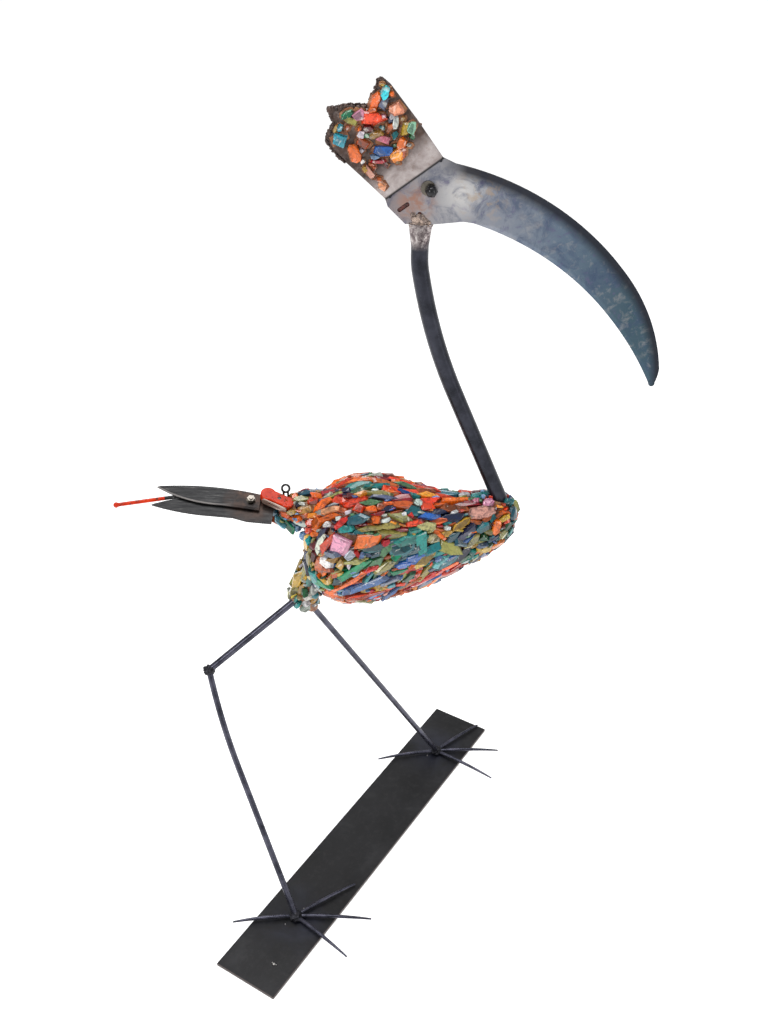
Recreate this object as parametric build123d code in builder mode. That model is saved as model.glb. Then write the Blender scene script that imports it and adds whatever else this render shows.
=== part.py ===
from build123d import *
from math import cos, hypot, pi, radians, sin, sqrt
import os
import random

# A standing bird sculpture welded from old garden tools, millimetres, +Z up, facing +X.
# Origin: centre of the base plate's underside. The bird's plane of symmetry is y = bird_y.

os.makedirs("parts", exist_ok=True)

# ---------------------------------------------------------------- driving dimensions
base_length = 640.0
base_width = 101.6
base_thickness = 5.0
base_turn = 58.3
bird_y = 16.5

# feet and legs
right_ankle = (-103.0, -166.0)
left_ankle = (120.0, 184.5)
right_toes = {"back": (-172.5, 94), "outer": (-41, 105), "middle": (-1.8, 114), "inner": (34.5, 106)}
left_toes = {"back": (-167.9, 105), "outer": (-34.3, 113), "middle": (1.8, 110), "inner": (41.0, 103)}
toe_start = 9.2
toe_radii = (2.9, 2.7, 1.3)
toe_heights = (4.6, 6.6, 3.6)
ankle_radius = 5.4
ankle_height = base_thickness + 4.6
leg_radius = 4.5
thigh_radius = 5.0
right_knee = Vector(-227, -26, 369)
right_hip = Vector(-109.3, 8, 464)
left_hip = Vector(-78.4, 25, 445)
knee_radius = 7.5
shank_bow = 7.0

# body, as ellipses across the X axis: station, centre height, half height
body_sections = [
    (-80, 568, 40),
    (-75, 567, 57),
    (-60, 564, 72),
    (-40, 565, 84),
    (-20, 568, 89),
    (4, 572, 90),
    (34, 573, 84),
    (64, 575, 74),
    (94, 579, 63),
    (124, 587, 53),
    (154, 597, 44.5),
    (180, 608, 34),
    (192, 614, 20),
    (196, 616, 9),
]
body_slimness = 0.69
bed_thickness = 3.0
sheet_thickness = 1.2
fit_gap = 0.2
bond_gap = 0.05

# neck tube
neck_radius = 10.5
neck_wall = 1.5
neck_x = 59.0
neck_top = 1010.0
neck_flare_height = 26.0
neck_flare = (14.0, 6.0)
neck_bend_start = 972.0
neck_bends = ((115.0, 10.0), (700.0, 13.5))
neck_end = 630.0

# beak: a sickle blade standing in the plane of symmetry
beak_thickness = 3.0
beak_back_radii = (371.7, 248.0)
beak_edge_radii = (372.6, 441.0)
beak_edge_chamfer = (1.3, 5.0)

# crest: a flattened sheet sleeve over the root of the beak
crest_seam_middle = (49.8, 1062.5)
crest_lean = 36.1
crest_thickness = 9.0
crest_sheet = 1.5
crest_lap = 5.0

# eye: a dome nut on a stud
eye_centre = (70.0, 1049.5)
eye_washer_shift = (-3.6, 2.2)
eye_stud_radius = 4.0
eye_nut_radius = 6.4

# tail: old grass shears, in a frame whose X runs from the pivot to the blade tips
tail_pivot = Vector(-157.0, 13.0, 628.5)
tail_pitch = 3.0
tail_roll = 17.0
blade_thickness = 2.6
blade_gap = 2.4
pivot_radius = 3.0
pivot_clearance = 0.06
closing_slack = 0.3

glass_thickness = 4.2
glass_embed = 1.4

random.seed(7)

sagittal = Plane(origin=(0, bird_y, 0), x_dir=(1, 0, 0), z_dir=(0, -1, 0))


def save(piece, name):
    piece.part.label = name
    export_step(piece.part, "parts/" + name + ".step")


def rod(start, end, radius, end_radius=None):
    """A straight round rod, or a straight taper when end_radius is given."""
    run = Vector(*end) - Vector(*start)
    with BuildPart() as made:
        with BuildSketch(Plane(origin=start, z_dir=run)):
            Circle(radius)
        if end_radius is None:
            extrude(amount=run.length)
        else:
            with BuildSketch(Plane(origin=end, z_dir=run)):
                Circle(end_radius)
            loft()
    return made


def cut(piece, *tools):
    """The piece with each tool's solid taken out of it."""
    with BuildPart() as made:
        add(piece.part)
        for tool in tools:
            add(tool.part, mode=Mode.SUBTRACT)
    return made


# ---------------------------------------------------------------- base plate
with BuildPart() as base_plate:
    with BuildSketch(Plane.XY):
        Rectangle(base_length, base_width, rotation=base_turn)
    extrude(amount=base_thickness)
    chamfer(base_plate.edges().group_by(Axis.Z)[-1], 0.6)
save(base_plate, "base_plate")


# ---------------------------------------------------------------- legs
def foot_point(ankle, height):
    return Vector(ankle[0], ankle[1], height)


left_up = (left_hip - foot_point(left_ankle, ankle_height)).normalized()
thigh_up = (right_hip - right_knee).normalized()
thigh_weld_depth = 18.5
leg_weld_depth = 26.0

right_thigh_rod = rod(right_knee, right_hip + thigh_up * thigh_weld_depth, thigh_radius)
left_leg_rod = rod(foot_point(left_ankle, ankle_height), left_hip + left_up * leg_weld_depth, leg_radius)

# The right shank is straight for its lower two thirds and bows forward into the knee.
right_ankle_top = foot_point(right_ankle, ankle_height)
shank_run = right_knee - right_ankle_top
shank_side = Vector(-1, -0.2, -0.35).normalized()
shank_turn = right_ankle_top + shank_run * 0.62 + shank_side * shank_bow
with BuildPart() as shank_full:
    with BuildLine():
        lower_shank = Line(right_ankle_top, shank_turn)
        TangentArc(shank_turn, right_knee, tangent=(shank_turn - right_ankle_top))
    with BuildSketch(Plane(origin=right_ankle_top, z_dir=(lower_shank % 0))):
        Circle(leg_radius)
    sweep()
right_shank_rod = cut(shank_full, right_thigh_rod)

with BuildPart() as knee_ball:
    with Locations(Location(tuple(right_knee))):
        Sphere(knee_radius)
knee_weld = cut(knee_ball, right_thigh_rod, right_shank_rod)

save(right_thigh_rod, "right_thigh_rod")
save(right_shank_rod, "right_shank_rod")
save(knee_weld, "right_knee_weld")
save(left_leg_rod, "left_leg_rod")


# ---------------------------------------------------------------- feet
def toe(ankle, bearing, length):
    """A slightly arched, tapered spike lying out from the ankle just above the plate."""
    heading = Vector(cos(radians(bearing)), sin(radians(bearing)), 0)
    reaches = (toe_start, toe_start + (length - toe_start) * 0.45, length)
    with BuildPart() as spike:
        for reach, height, radius in zip(reaches, toe_heights, toe_radii):
            centre = foot_point(ankle, base_thickness + height) + heading * reach
            with BuildSketch(Plane(origin=centre, z_dir=heading)):
                Circle(radius)
        loft()
    return spike


for side, ankle, toes, leg in (
    ("right", right_ankle, right_toes, right_shank_rod),
    ("left", left_ankle, left_toes, left_leg_rod),
):
    spikes = []
    for toe_name, (bearing, length) in toes.items():
        spike = toe(ankle, bearing, length)
        spikes.append(spike)
        save(spike, side + "_" + toe_name + "_toe")
    middle = foot_point(ankle, base_thickness + toe_heights[0])
    with BuildPart() as lump:
        with BuildSketch(Plane.XY.offset(base_thickness)):
            with Locations(ankle):
                Circle(ankle_radius * 1.25)
        extrude(amount=toe_heights[0], taper=8)
        with Locations(Location(tuple(middle))):
            Sphere(ankle_radius)
        for bearing, _ in toes.values():
            with BuildSketch(Plane(origin=middle, z_dir=(cos(radians(bearing)), sin(radians(bearing)), 0))):
                Circle(toe_radii[0] + 0.3)
            extrude(amount=toe_start)
    save(cut(lump, leg, base_plate, *spikes), side + "_ankle_weld")


# ---------------------------------------------------------------- neck
neck_flare_base = neck_top - neck_flare_height
with BuildLine(sagittal) as neck_line:
    Line((neck_x, neck_flare_base), (neck_x, neck_bend_start))
    heading = -90.0
    at = Vector(neck_x, neck_bend_start)
    for bend_radius, bend_angle in neck_bends:
        JernArc(tuple(at)[:2], (cos(radians(heading)), sin(radians(heading))), bend_radius, bend_angle)
        to_centre = heading + 90
        centre = at + Vector(cos(radians(to_centre)), sin(radians(to_centre))) * bend_radius
        heading += bend_angle
        at = centre - Vector(cos(radians(heading + 90)), sin(radians(heading + 90))) * bend_radius
    down = Vector(cos(radians(heading)), sin(radians(heading)))
    neck_low = at + down * ((neck_end - at.Y) / down.Y)
    Line(tuple(at)[:2], tuple(neck_low)[:2])


def neck_tube_solid(shrink):
    """The neck's outer form, made smaller all round by shrink, with its flattened top."""
    with BuildPart() as made:
        with BuildSketch(Plane.XY.offset(neck_flare_base)):
            with Locations((neck_x, bird_y)):
                Circle(neck_radius - shrink)
        sweep(path=neck_line.wire())
        with BuildSketch(Plane.XY.offset(neck_flare_base)):
            with Locations((neck_x, bird_y)):
                Circle(neck_radius - shrink)
        with BuildSketch(Plane.XY.offset(neck_top)):
            with Locations((neck_x, bird_y)):
                Ellipse(neck_flare[0] - shrink, neck_flare[1] - shrink)
        loft()
    return made


neck_outer = neck_tube_solid(0)
neck_tube = cut(neck_outer, neck_tube_solid(neck_wall))

# ---------------------------------------------------------------- beak
# The outline runs from the seam round the root, out along the cutting edge and back along the spine.
seam_half = 40.0
tang_half = 36.0
seam_clear = -0.2
edge_start = (118.0, 1012.2)
edge_change = (290.0, 900.0)
tip_edge = (350.5, 812.0)
tip = (354.6, 807.8)
tip_back = (358.2, 813.0)
back_low = (361.3, 832.0)
back_change = (302.0, 956.7)
back_start = (97.0, 1079.3)

# Crest frame: X along the seam, Y away from the beak, Z towards the near side.
crest_across = Vector(cos(radians(crest_lean)), 0, sin(radians(crest_lean)))
crest_plane = Plane(
    origin=(crest_seam_middle[0], bird_y, crest_seam_middle[1]), x_dir=crest_across, z_dir=(0, -1, 0)
)


def seam_point(along, up):
    """A point of the crest frame, as X and Z in the plane of symmetry."""
    spot = crest_plane.from_local_coords(Vector(along, up, 0))
    return (spot.X, spot.Z)


with BuildPart() as eye_stud:
    with BuildSketch(sagittal.offset(-10)):
        with Locations(eye_centre):
            Circle(eye_stud_radius)
    extrude(amount=18)

with BuildPart() as beak_blank:
    with BuildSketch(sagittal):
        with BuildLine():
            Polyline(
                back_start, seam_point(seam_half, seam_clear), seam_point(tang_half, seam_clear),
                seam_point(tang_half, crest_lap), seam_point(-tang_half, crest_lap),
                seam_point(-tang_half, seam_clear), seam_point(-seam_half, seam_clear),
                (20.5, 1030), (41, neck_top), (75, neck_top), (108, 1013.5), edge_start,
            )
            RadiusArc(edge_start, edge_change, beak_edge_radii[0])
            RadiusArc(edge_change, tip_edge, beak_edge_radii[1])
            ThreePointArc(tip_edge, tip, tip_back)
            RadiusArc(tip_back, back_low, -60)
            RadiusArc(back_low, back_change, -beak_back_radii[1])
            RadiusArc(back_change, back_start, -beak_back_radii[0])
        make_face()
        with Locations((38.7, 1029.5)):
            SlotOverall(16, 5, rotation=crest_lean, mode=Mode.SUBTRACT)
        with Locations((57.5, 1022)):
            Circle(2.5, mode=Mode.SUBTRACT)
    extrude(amount=beak_thickness / 2, both=True)
    cutting_edges = [
        edge for edge in beak_blank.faces().sort_by(Axis.Y)[0].edges().filter_by(GeomType.CIRCLE)
        if min(abs(edge.radius - known) for known in beak_edge_radii) < 0.05
    ]
    blade_face = beak_blank.faces().sort_by(Axis.Y)[0]
    chamfer(cutting_edges, beak_edge_chamfer[1], beak_edge_chamfer[0], reference=blade_face)
sickle_beak = cut(beak_blank, eye_stud)
save(sickle_beak, "sickle_beak")

# ---------------------------------------------------------------- neck braze
with BuildPart() as braze_lump:
    for rise, half_x, half_y in ((-7, 15.0, 7.6), (2, 14.0, 6.0), (10, 7.0, 3.0)):
        with BuildSketch(Plane.XY.offset(neck_top + rise)):
            with Locations((neck_x, bird_y)):
                Ellipse(half_x, half_y)
    loft()
neck_braze = cut(braze_lump, sickle_beak, neck_outer)
save(neck_braze, "neck_braze")

# ---------------------------------------------------------------- eye
near_face = sagittal.offset(beak_thickness / 2)
with BuildPart() as eye_washer_blank:
    with BuildSketch(near_face):
        with Locations((eye_centre[0] + eye_washer_shift[0], eye_centre[1] + eye_washer_shift[1])):
            Circle(8.5)
    extrude(amount=1.4)
eye_washer = cut(eye_washer_blank, eye_stud)
save(eye_washer, "eye_washer")

with BuildPart() as dome_blank:
    with BuildSketch(near_face.offset(1.4)):
        with Locations(eye_centre):
            RegularPolygon(eye_nut_radius, 6, major_radius=False)
    extrude(amount=5)
    with Locations(Location((eye_centre[0], bird_y - beak_thickness / 2 - 6.4, eye_centre[1]))):
        Sphere(eye_nut_radius)
    with BuildSketch(near_face.offset(1.4)):
        with Locations(eye_centre):
            Circle(12)
    extrude(amount=-20, mode=Mode.SUBTRACT)
eye_dome_nut = cut(dome_blank, eye_stud)
save(eye_dome_nut, "eye_dome_nut")

with BuildPart() as rear_nut_blank:
    with BuildSketch(sagittal.offset(-beak_thickness / 2)):
        with Locations(eye_centre):
            RegularPolygon(eye_nut_radius, 6, major_radius=False)
    extrude(amount=-6)
eye_rear_nut = cut(rear_nut_blank, eye_stud)
save(eye_rear_nut, "eye_rear_nut")
save(eye_stud, "eye_stud")

# ---------------------------------------------------------------- crest
crest_right_side = [(40, 0), (39.5, 50), (37, 97)]
crest_crown = [
    (33.3, 108.8), (18, 101), (4.1, 94.2), (-12, 106), (-34.7, 117.5), (-37.2, 101.4), (-55.6, 93.1)
]
crest_left_side = [(-56.5, 78), (-48, 39), (-40, 0)]

with BuildPart() as crest_sleeve:
    with BuildSketch(crest_plane):
        with BuildLine():
            Polyline(*crest_right_side, *crest_crown, *crest_left_side, close=True)
        make_face()
    extrude(amount=crest_thickness / 2, both=True)
    side_edges = crest_sleeve.edges().filter_by(
        lambda edge: abs(edge.center().Y - bird_y) > 4 and crest_plane.to_local_coords(edge).center().Y < 90
        and abs(crest_plane.to_local_coords(edge).center().X) > 35
    )
    fillet(side_edges, 3.5)
    with BuildSketch(crest_plane):
        with BuildLine():
            Polyline(
                (38.5, -10), (38, 50), (35.4, 98), (34, 125), (-56, 125), (-53.5, 94),
                (-55, 78), (-46.5, 39), (-38.5, 0), (-36.5, -10), close=True,
            )
        make_face()
    extrude(amount=crest_thickness / 2 - crest_sheet, both=True, mode=Mode.SUBTRACT)
    # The near sheet is torn a little lower than the far one.
    with BuildSketch(crest_plane):
        with BuildLine():
            Polyline((28, 112), (11, 92), (3, 86), (-9, 97), (-24, 118), close=True)
        make_face()
    extrude(amount=crest_thickness, mode=Mode.SUBTRACT)
save(crest_sleeve, "crest_sleeve")

with BuildPart() as tack_blank:
    for along in (-34, 36):
        for side in (-1, 1):
            spot = crest_plane.from_local_coords(Vector(along, -0.6, side * (beak_thickness / 2 + 1.0)))
            with Locations(Location(tuple(spot))):
                Sphere(2.2)
crest_tack_welds = cut(tack_blank, sickle_beak, crest_sleeve)
save(crest_tack_welds, "crest_tack_welds")


# ---------------------------------------------------------------- body
def body_envelope(inset, first=0, last=None):
    """The body's lofted form with every wall moved in by inset."""
    stations = body_sections[first:last]
    low = stations[0][0] + inset
    high = stations[-1][0] - inset
    with BuildPart() as made:
        for x, z, half_height in stations:
            place = min(max(x, low), high)
            with BuildSketch(Plane(origin=(place, bird_y, z), x_dir=(0, 1, 0), z_dir=(1, 0, 0))):
                Ellipse(body_slimness * half_height - inset, half_height - inset)
        loft()
    return made


sheet_outside = body_envelope(bed_thickness + fit_gap, 1, -1)
sheet_inside = body_envelope(bed_thickness + fit_gap + sheet_thickness, 1, -1)
bed_inside = body_envelope(bed_thickness, 1, -1)

# hip stump and tail neck: station, centre, half sizes
hip_sections = [
    (450, -80, 7, 8),
    (456, -84, 13, 12),
    (466, -91, 18, 16),
    (480, -89, 19, 18),
    (498, -80, 18, 18),
    (520, -70, 17, 18),
]
tail_sections = [
    (-127, 612, 6, 7),
    (-120, 612.5, 12, 12),
    (-108, 613.5, 17, 18),
    (-88, 615, 22, 23),
    (-62, 612, 23, 24),
]
with BuildPart() as hip_stump:
    for z, x, half_x, half_y in hip_sections:
        with BuildSketch(Plane.XY.offset(z)):
            with Locations((x, bird_y)):
                Ellipse(half_x, half_y)
    loft()
with BuildPart() as tail_neck:
    for x, z, half_height, half_width in tail_sections:
        with BuildSketch(Plane(origin=(x, bird_y, z), x_dir=(0, 1, 0), z_dir=(1, 0, 0))):
            Ellipse(half_width, half_height)
    loft()
body_outside = body_envelope(0)

# steel inside the body: hip plate, spine, tail rod
hip_weld_point = Vector(-88, 15, 480)
hip_plate_thickness = 7.0
with BuildPart() as hip_plate:
    with BuildSketch(Plane.XY.offset(hip_weld_point.Z)):
        with Locations((hip_weld_point.X, hip_weld_point.Y)):
            Circle(14)
    extrude(amount=hip_plate_thickness)

spine_foot = Vector(-84, bird_y, hip_weld_point.Z + hip_plate_thickness)
spine_turn = Vector(-52, bird_y, 580)
spine_head = Vector(168, bird_y, 617)
spine_radius = 6.0
with BuildPart() as spine_rod_full:
    with BuildLine():
        FilletPolyline(spine_foot, spine_turn, spine_head, radius=30)
    with BuildSketch(Plane(origin=spine_foot, z_dir=spine_turn - spine_foot)):
        Circle(spine_radius)
    sweep()
spine_rod = cut(spine_rod_full, hip_plate, neck_outer)
tail_rod_blank = rod((-112, bird_y, 611), (-30, bird_y, 592), 4.0)
tail_rod = cut(tail_rod_blank, spine_rod)

# ---------------------------------------------------------------- tail shears
# Tail frame: X from the pivot to the blade tips, Y towards the near side, Z up through the pivot.
tail_along = Vector(-cos(radians(tail_pitch)), 0, sin(radians(tail_pitch)))
tail_far = Vector(0, cos(radians(tail_roll)), sin(radians(tail_roll)))
tail_plane = Plane(origin=tail_pivot, x_dir=tail_along, z_dir=tail_far.cross(tail_along))


def pivot_disc(radius, low, high):
    with BuildPart() as made:
        with BuildSketch(tail_plane.offset(low)):
            Circle(radius)
        extrude(amount=high - low)
    return made


upper_low = blade_gap
upper_high = blade_gap + blade_thickness
with BuildPart() as tail_upper_blade:
    with BuildSketch(tail_plane.offset(upper_low)):
        with BuildLine():
            Line((-12, -11.5), (-12, 15.5))
            Line((-12, 15.5), (40, 9.8))
            ThreePointArc((40, 9.8), (92, 1.6), (128.5, -15.8))
            ThreePointArc((128.5, -15.8), (62, -20.4), (-12, -11.5))
        make_face()
        Circle(pivot_radius + pivot_clearance, mode=Mode.SUBTRACT)
    extrude(amount=blade_thickness)
    top_face = max(
        tail_upper_blade.faces().sort_by(SortBy.AREA)[-2:],
        key=lambda face: tail_plane.to_local_coords(face.center()).Z,
    )
    honed = [edge for edge in top_face.edges() if tail_plane.to_local_coords(edge.center()).Y > -4
             and tail_plane.to_local_coords(edge.center()).X > 10]
    chamfer(honed, 3.0, 1.2, reference=top_face)

with BuildPart() as tail_lower_blade_full:
    with BuildSketch(tail_plane.offset(-blade_thickness)):
        with BuildLine():
            ThreePointArc((131.6, 12.7), (101, 20.3), (66, 25))
            Polyline((66, 25), (22, 26.8), (3, 32), (-30, 33.5), (-31, 8), (-58, 6), (-58, -6), (-26, -8),
                     (-14, -14), (40, -12))
            ThreePointArc((40, -12), (94, -2), (131.6, 12.7))
        make_face()
        Circle(pivot_radius, mode=Mode.SUBTRACT)
    extrude(amount=blade_thickness)

rod_level = -0.7
red_rod_radius = 2.6
red_rod_start = tail_plane.from_local_coords(Vector(70, -12.1, rod_level))
red_rod_change = tail_plane.from_local_coords(Vector(116, 0.2, rod_level))
red_rod_end = tail_plane.from_local_coords(Vector(177.5, 16.9, rod_level))
red_ball_radius = 3.8
tail_wire = rod(red_rod_start, red_rod_change, red_rod_radius * 0.85, red_rod_radius)
tip_run = red_rod_end - red_rod_change
tip_length = tip_run.length
tip_neck = tip_length - sqrt(red_ball_radius ** 2 - red_rod_radius ** 2)
with BuildPart() as tail_red_tip:
    with BuildSketch(Plane(origin=red_rod_change, x_dir=tip_run, z_dir=tip_run.cross(tail_plane.z_dir))):
        with BuildLine():
            far_end = (tip_length + red_ball_radius, 0)
            Polyline(far_end, (0, 0), (0, red_rod_radius), (tip_neck, red_rod_radius))
            ThreePointArc(
                (tip_neck, red_rod_radius), (tip_length, red_ball_radius), (tip_length + red_ball_radius, 0)
            )
        make_face()
    revolve(axis=Axis(red_rod_change, tip_run))
tail_lower_blade = cut(tail_lower_blade_full, tail_rod)
with BuildPart() as wire_weld_blank:
    with Locations(Location(tuple(tail_plane.from_local_coords(Vector(104, -0.9, -1.6))))):
        Sphere(2.6)
tail_wire_weld = cut(wire_weld_blank, tail_wire, tail_lower_blade)

# pivot: spacer, bolt, washer and nut
bolt_head_radius = 5.0
nut_radius = 4.7
nut_height = 4.0
pivot_washer_radius = 5.9
pivot_washer_height = 1.0
spacer_radius = 7.0
spacer_slack = 0.1
bolt_end = 1.6
nut_low = upper_high + closing_slack + pivot_washer_height
with BuildPart() as tail_pivot_bolt:
    with BuildSketch(tail_plane.offset(-blade_thickness - 4)):
        RegularPolygon(bolt_head_radius, 6, major_radius=False)
    extrude(amount=4)
    with BuildSketch(tail_plane.offset(-blade_thickness - 4)):
        Circle(pivot_radius)
    extrude(amount=4 + blade_thickness + nut_low + nut_height + bolt_end)
pivot_core = pivot_disc(pivot_radius, -1, nut_low + nut_height + 1)
tail_pivot_spacer = cut(pivot_disc(spacer_radius, 0, upper_low - spacer_slack), pivot_core)
tail_pivot_washer = cut(pivot_disc(pivot_washer_radius, upper_high + closing_slack, nut_low), pivot_core)
with BuildPart() as nut_blank:
    with BuildSketch(tail_plane.offset(nut_low)):
        RegularPolygon(nut_radius, 6, major_radius=False)
    extrude(amount=nut_height)
tail_pivot_nut = cut(nut_blank, pivot_core)

# red stamped lever: a channel open below, its hole filled by a rivet, over a slotted plate
lever_seat = Location((-34, -3, 12), (0, 0, 160))
lever_dip = Location((0, 0, 0), (0, 8, 0))
lever_plane = Plane(tail_plane.location * lever_seat * lever_dip)
lever_height = 8.0
lever_wall = 1.6
lever_hole = 2.6


def lever_outline(wall):
    """The lever's plan inside the given wall: two round ends joined by a full waist."""
    with Locations((-12, 0)):
        Circle(10.5 - wall)
    with Locations((16, 0)):
        Circle(9.5 - wall)
    with Locations((2, 0)):
        Rectangle(28, 17.5 - 2 * wall)


with BuildPart() as tail_red_lever:
    with BuildSketch(lever_plane):
        lever_outline(0)
    extrude(amount=-lever_height)
    lever_top = tail_red_lever.faces().sort_by(Axis(lever_plane.origin, lever_plane.z_dir))[-1]
    fillet(lever_top.edges(), 1.8)
    with BuildSketch(lever_plane.offset(-lever_wall)):
        lever_outline(lever_wall)
    extrude(amount=-lever_height, mode=Mode.SUBTRACT)
    with BuildSketch(lever_plane):
        with Locations((4, 0)):
            Circle(lever_hole)
    extrude(amount=-2 * lever_wall, mode=Mode.SUBTRACT)
with BuildPart() as tail_lever_rivet:
    with BuildSketch(lever_plane.offset(-lever_wall * 0.6)):
        with Locations((4, 0)):
            Circle(lever_hole - 0.05)
    extrude(amount=-lever_wall)

guard_plane = Plane(lever_plane.location * Location((2, -10.2, -5.5), (90, 0, 0)))
with BuildPart() as guard_blank:
    with BuildSketch(guard_plane):
        RectangleRounded(36, 9, 3.5)
        SlotOverall(18, 3.4, mode=Mode.SUBTRACT)
    extrude(amount=1.6)

# spring: two close turns whose axis leans up towards the near side, with both legs down in the resin
spring_centre = Vector(-111, 22, 646.6)
spring_radius = 5.0
spring_wire = 1.45
spring_pitch = 2.5
spring_plane = Plane(origin=spring_centre, x_dir=(1, 0, 0), z_dir=(0, -0.85, 0.53))
with BuildPart() as spring_coil:
    for turn in range(2):
        with Locations(spring_plane.offset(-turn * spring_pitch).location):
            Torus(spring_radius, spring_wire)
    for side in (1, -1):
        leg_top = spring_plane.from_local_coords(Vector(side * 0.6 * spring_radius, -0.8 * spring_radius, 0))
        with BuildSketch(Plane(origin=leg_top, z_dir=(0, 0.35, -0.94))):
            Circle(spring_wire)
        extrude(amount=24)

# ---------------------------------------------------------------- shells and resin cut round the steel
inner_steel = (right_thigh_rod, left_leg_rod, hip_plate, spine_rod, neck_outer, tail_rod)
sheet_body = cut(cut(sheet_outside, sheet_inside), *inner_steel)
for side, keep in (("near", Keep.TOP), ("far", Keep.BOTTOM)):
    with BuildPart() as half:
        add(sheet_body.part)
        split(bisect_by=sagittal, keep=keep)
    save(half, "body_shell_" + side)

resin_bed = cut(cut(body_outside, bed_inside), *inner_steel)
resin_hip_collar = cut(hip_stump, body_outside, *inner_steel)
tail_pieces = (tail_lower_blade, spring_coil, tail_red_lever, guard_blank)
resin_tail_collar = cut(tail_neck, body_outside, tail_rod, *tail_pieces)
for piece, name in (
    (resin_bed, "resin_bed"),
    (resin_hip_collar, "resin_hip_collar"),
    (resin_tail_collar, "resin_tail_collar"),
    (hip_plate, "hip_plate"),
    (spine_rod, "spine_rod"),
    (tail_rod, "tail_rod"),
    (neck_tube, "neck_tube"),
    (tail_upper_blade, "tail_upper_blade"),
    (tail_lower_blade, "tail_lower_blade"),
    (cut(tail_wire, tail_red_tip), "tail_wire"),
    (tail_red_tip, "tail_red_tip"),
    (tail_wire_weld, "tail_wire_weld"),
    (tail_pivot_bolt, "tail_pivot_bolt"),
    (tail_pivot_spacer, "tail_pivot_spacer"),
    (tail_pivot_washer, "tail_pivot_washer"),
    (tail_pivot_nut, "tail_pivot_nut"),
    (tail_red_lever, "tail_red_lever"),
    (tail_lever_rivet, "tail_lever_rivet"),
    (cut(guard_blank, tail_red_lever), "tail_slotted_plate"),
    (spring_coil, "tail_spring_coil"),
):
    save(piece, name)


# ---------------------------------------------------------------- glass
def shard_outline(length, width):
    """An irregular broken-glass outline about its own centre, longer along X."""
    nose = random.uniform(0.15, 0.45)
    heel = random.uniform(0.0, 0.3)
    return [
        (-length / 2, -width / 2 * (1 - heel)),
        (length / 2 * (1 - nose), -width / 2),
        (length / 2, random.uniform(-0.2, 0.3) * width),
        (length / 2 * (1 - nose * random.uniform(0.4, 1.0)), width / 2),
        (-length / 2 * random.uniform(0.85, 1.0), width / 2 * (1 - heel * random.random())),
    ]


def glass_group(shards, thickness):
    """One node of separate shards, each an outline extruded outwards from its own plane."""
    with BuildPart() as made:
        for place, outline in shards:
            with BuildSketch(place):
                with BuildLine():
                    Polyline(*outline, close=True)
                make_face()
        extrude(amount=thickness)
    return made


# The body's profile, from the middle of the rear face over the back to the middle of the chest.
profile = [(body_sections[0][0], body_sections[0][1], 2.0)]
profile += body_sections
profile += [(body_sections[-1][0] + 0.5, body_sections[-1][1], 2.0)]


def body_point(run, turn):
    """A point of the body's outside: run is the distance along the profile, turn the angle from the top."""
    rest = run
    for (x0, z0, h0), (x1, z1, h1) in zip(profile, profile[1:]):
        step = hypot(x1 - x0, h1 - h0)
        if rest <= step:
            break
        rest -= step
    share = min(rest / step, 1.0)
    x = x0 + (x1 - x0) * share
    z = z0 + (z1 - z0) * share
    half = h0 + (h1 - h0) * share
    return Vector(x, bird_y + body_slimness * half * sin(turn), z + half * cos(turn)), half


profile_length = sum(hypot(b[0] - a[0], b[2] - a[2]) for a, b in zip(profile, profile[1:]))
shard_length = 30.0
shard_width = 14.5
shard_gap = 3.6
smallest_course = 26.0
glass_colours = {
    "orange": 20, "teal": 20, "blue": 14, "green": 12, "amber": 12, "red": 10, "pink": 6, "clear": 6
}
body_glass = {colour: [] for colour in glass_colours}


def any_colour():
    return random.choices(list(glass_colours), weights=glass_colours.values())[0]


def meets_sheet(seat, outline):
    """Whether the back of a shard comes down to the sheet under the resin, at its rim or inside it."""
    points = [Vector(x * share, y * share, -fit_gap) for x, y in outline for share in (1.15, 0.6, 0)]
    return any(sheet_outside.part.is_inside(seat.from_local_coords(point)) for point in points)


courses = int(profile_length / shard_length)
for course in range(courses):
    run = (course + 0.5) * profile_length / courses
    half = body_point(run, 0)[1]
    if half < smallest_course:
        continue
    around = 2 * pi * half * sqrt((1 + body_slimness ** 2) / 2)
    count = max(3, int(around / shard_width))
    for place in range(count):
        turn = 2 * pi * (place + 0.5 * (course % 2)) / count
        spot = body_point(run, turn)[0]
        along = (body_point(run + 8, turn)[0] - body_point(run - 8, turn)[0]).normalized()
        round_ = (body_point(run, turn + 0.08)[0] - body_point(run, turn - 0.08)[0]).normalized()
        outward = round_.cross(along).normalized()
        if (spot - Vector(60, bird_y, 585)).dot(outward) < 0:
            outward = outward * -1
        if (spot - Vector(170, bird_y, 652)).length < 27:
            continue
        near_tail = spot.X < -66 and abs(spot.Z - 613) < 30 and abs(spot.Y - bird_y) < 30
        near_hip = spot.X < -44 and spot.Z < 530 and abs(spot.Y - bird_y) < 31
        if near_tail or near_hip:
            continue
        spacing = around / count
        width = (spacing - shard_gap) * random.uniform(0.86, 1.0)
        length = (profile_length / courses - shard_gap) * random.uniform(0.84, 1.0)
        seat = Plane(origin=spot - outward * glass_embed, x_dir=along * -1, z_dir=outward)
        outline = shard_outline(length, width)
        if not meets_sheet(seat, outline):
            body_glass[any_colour()].append((seat, outline))

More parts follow.
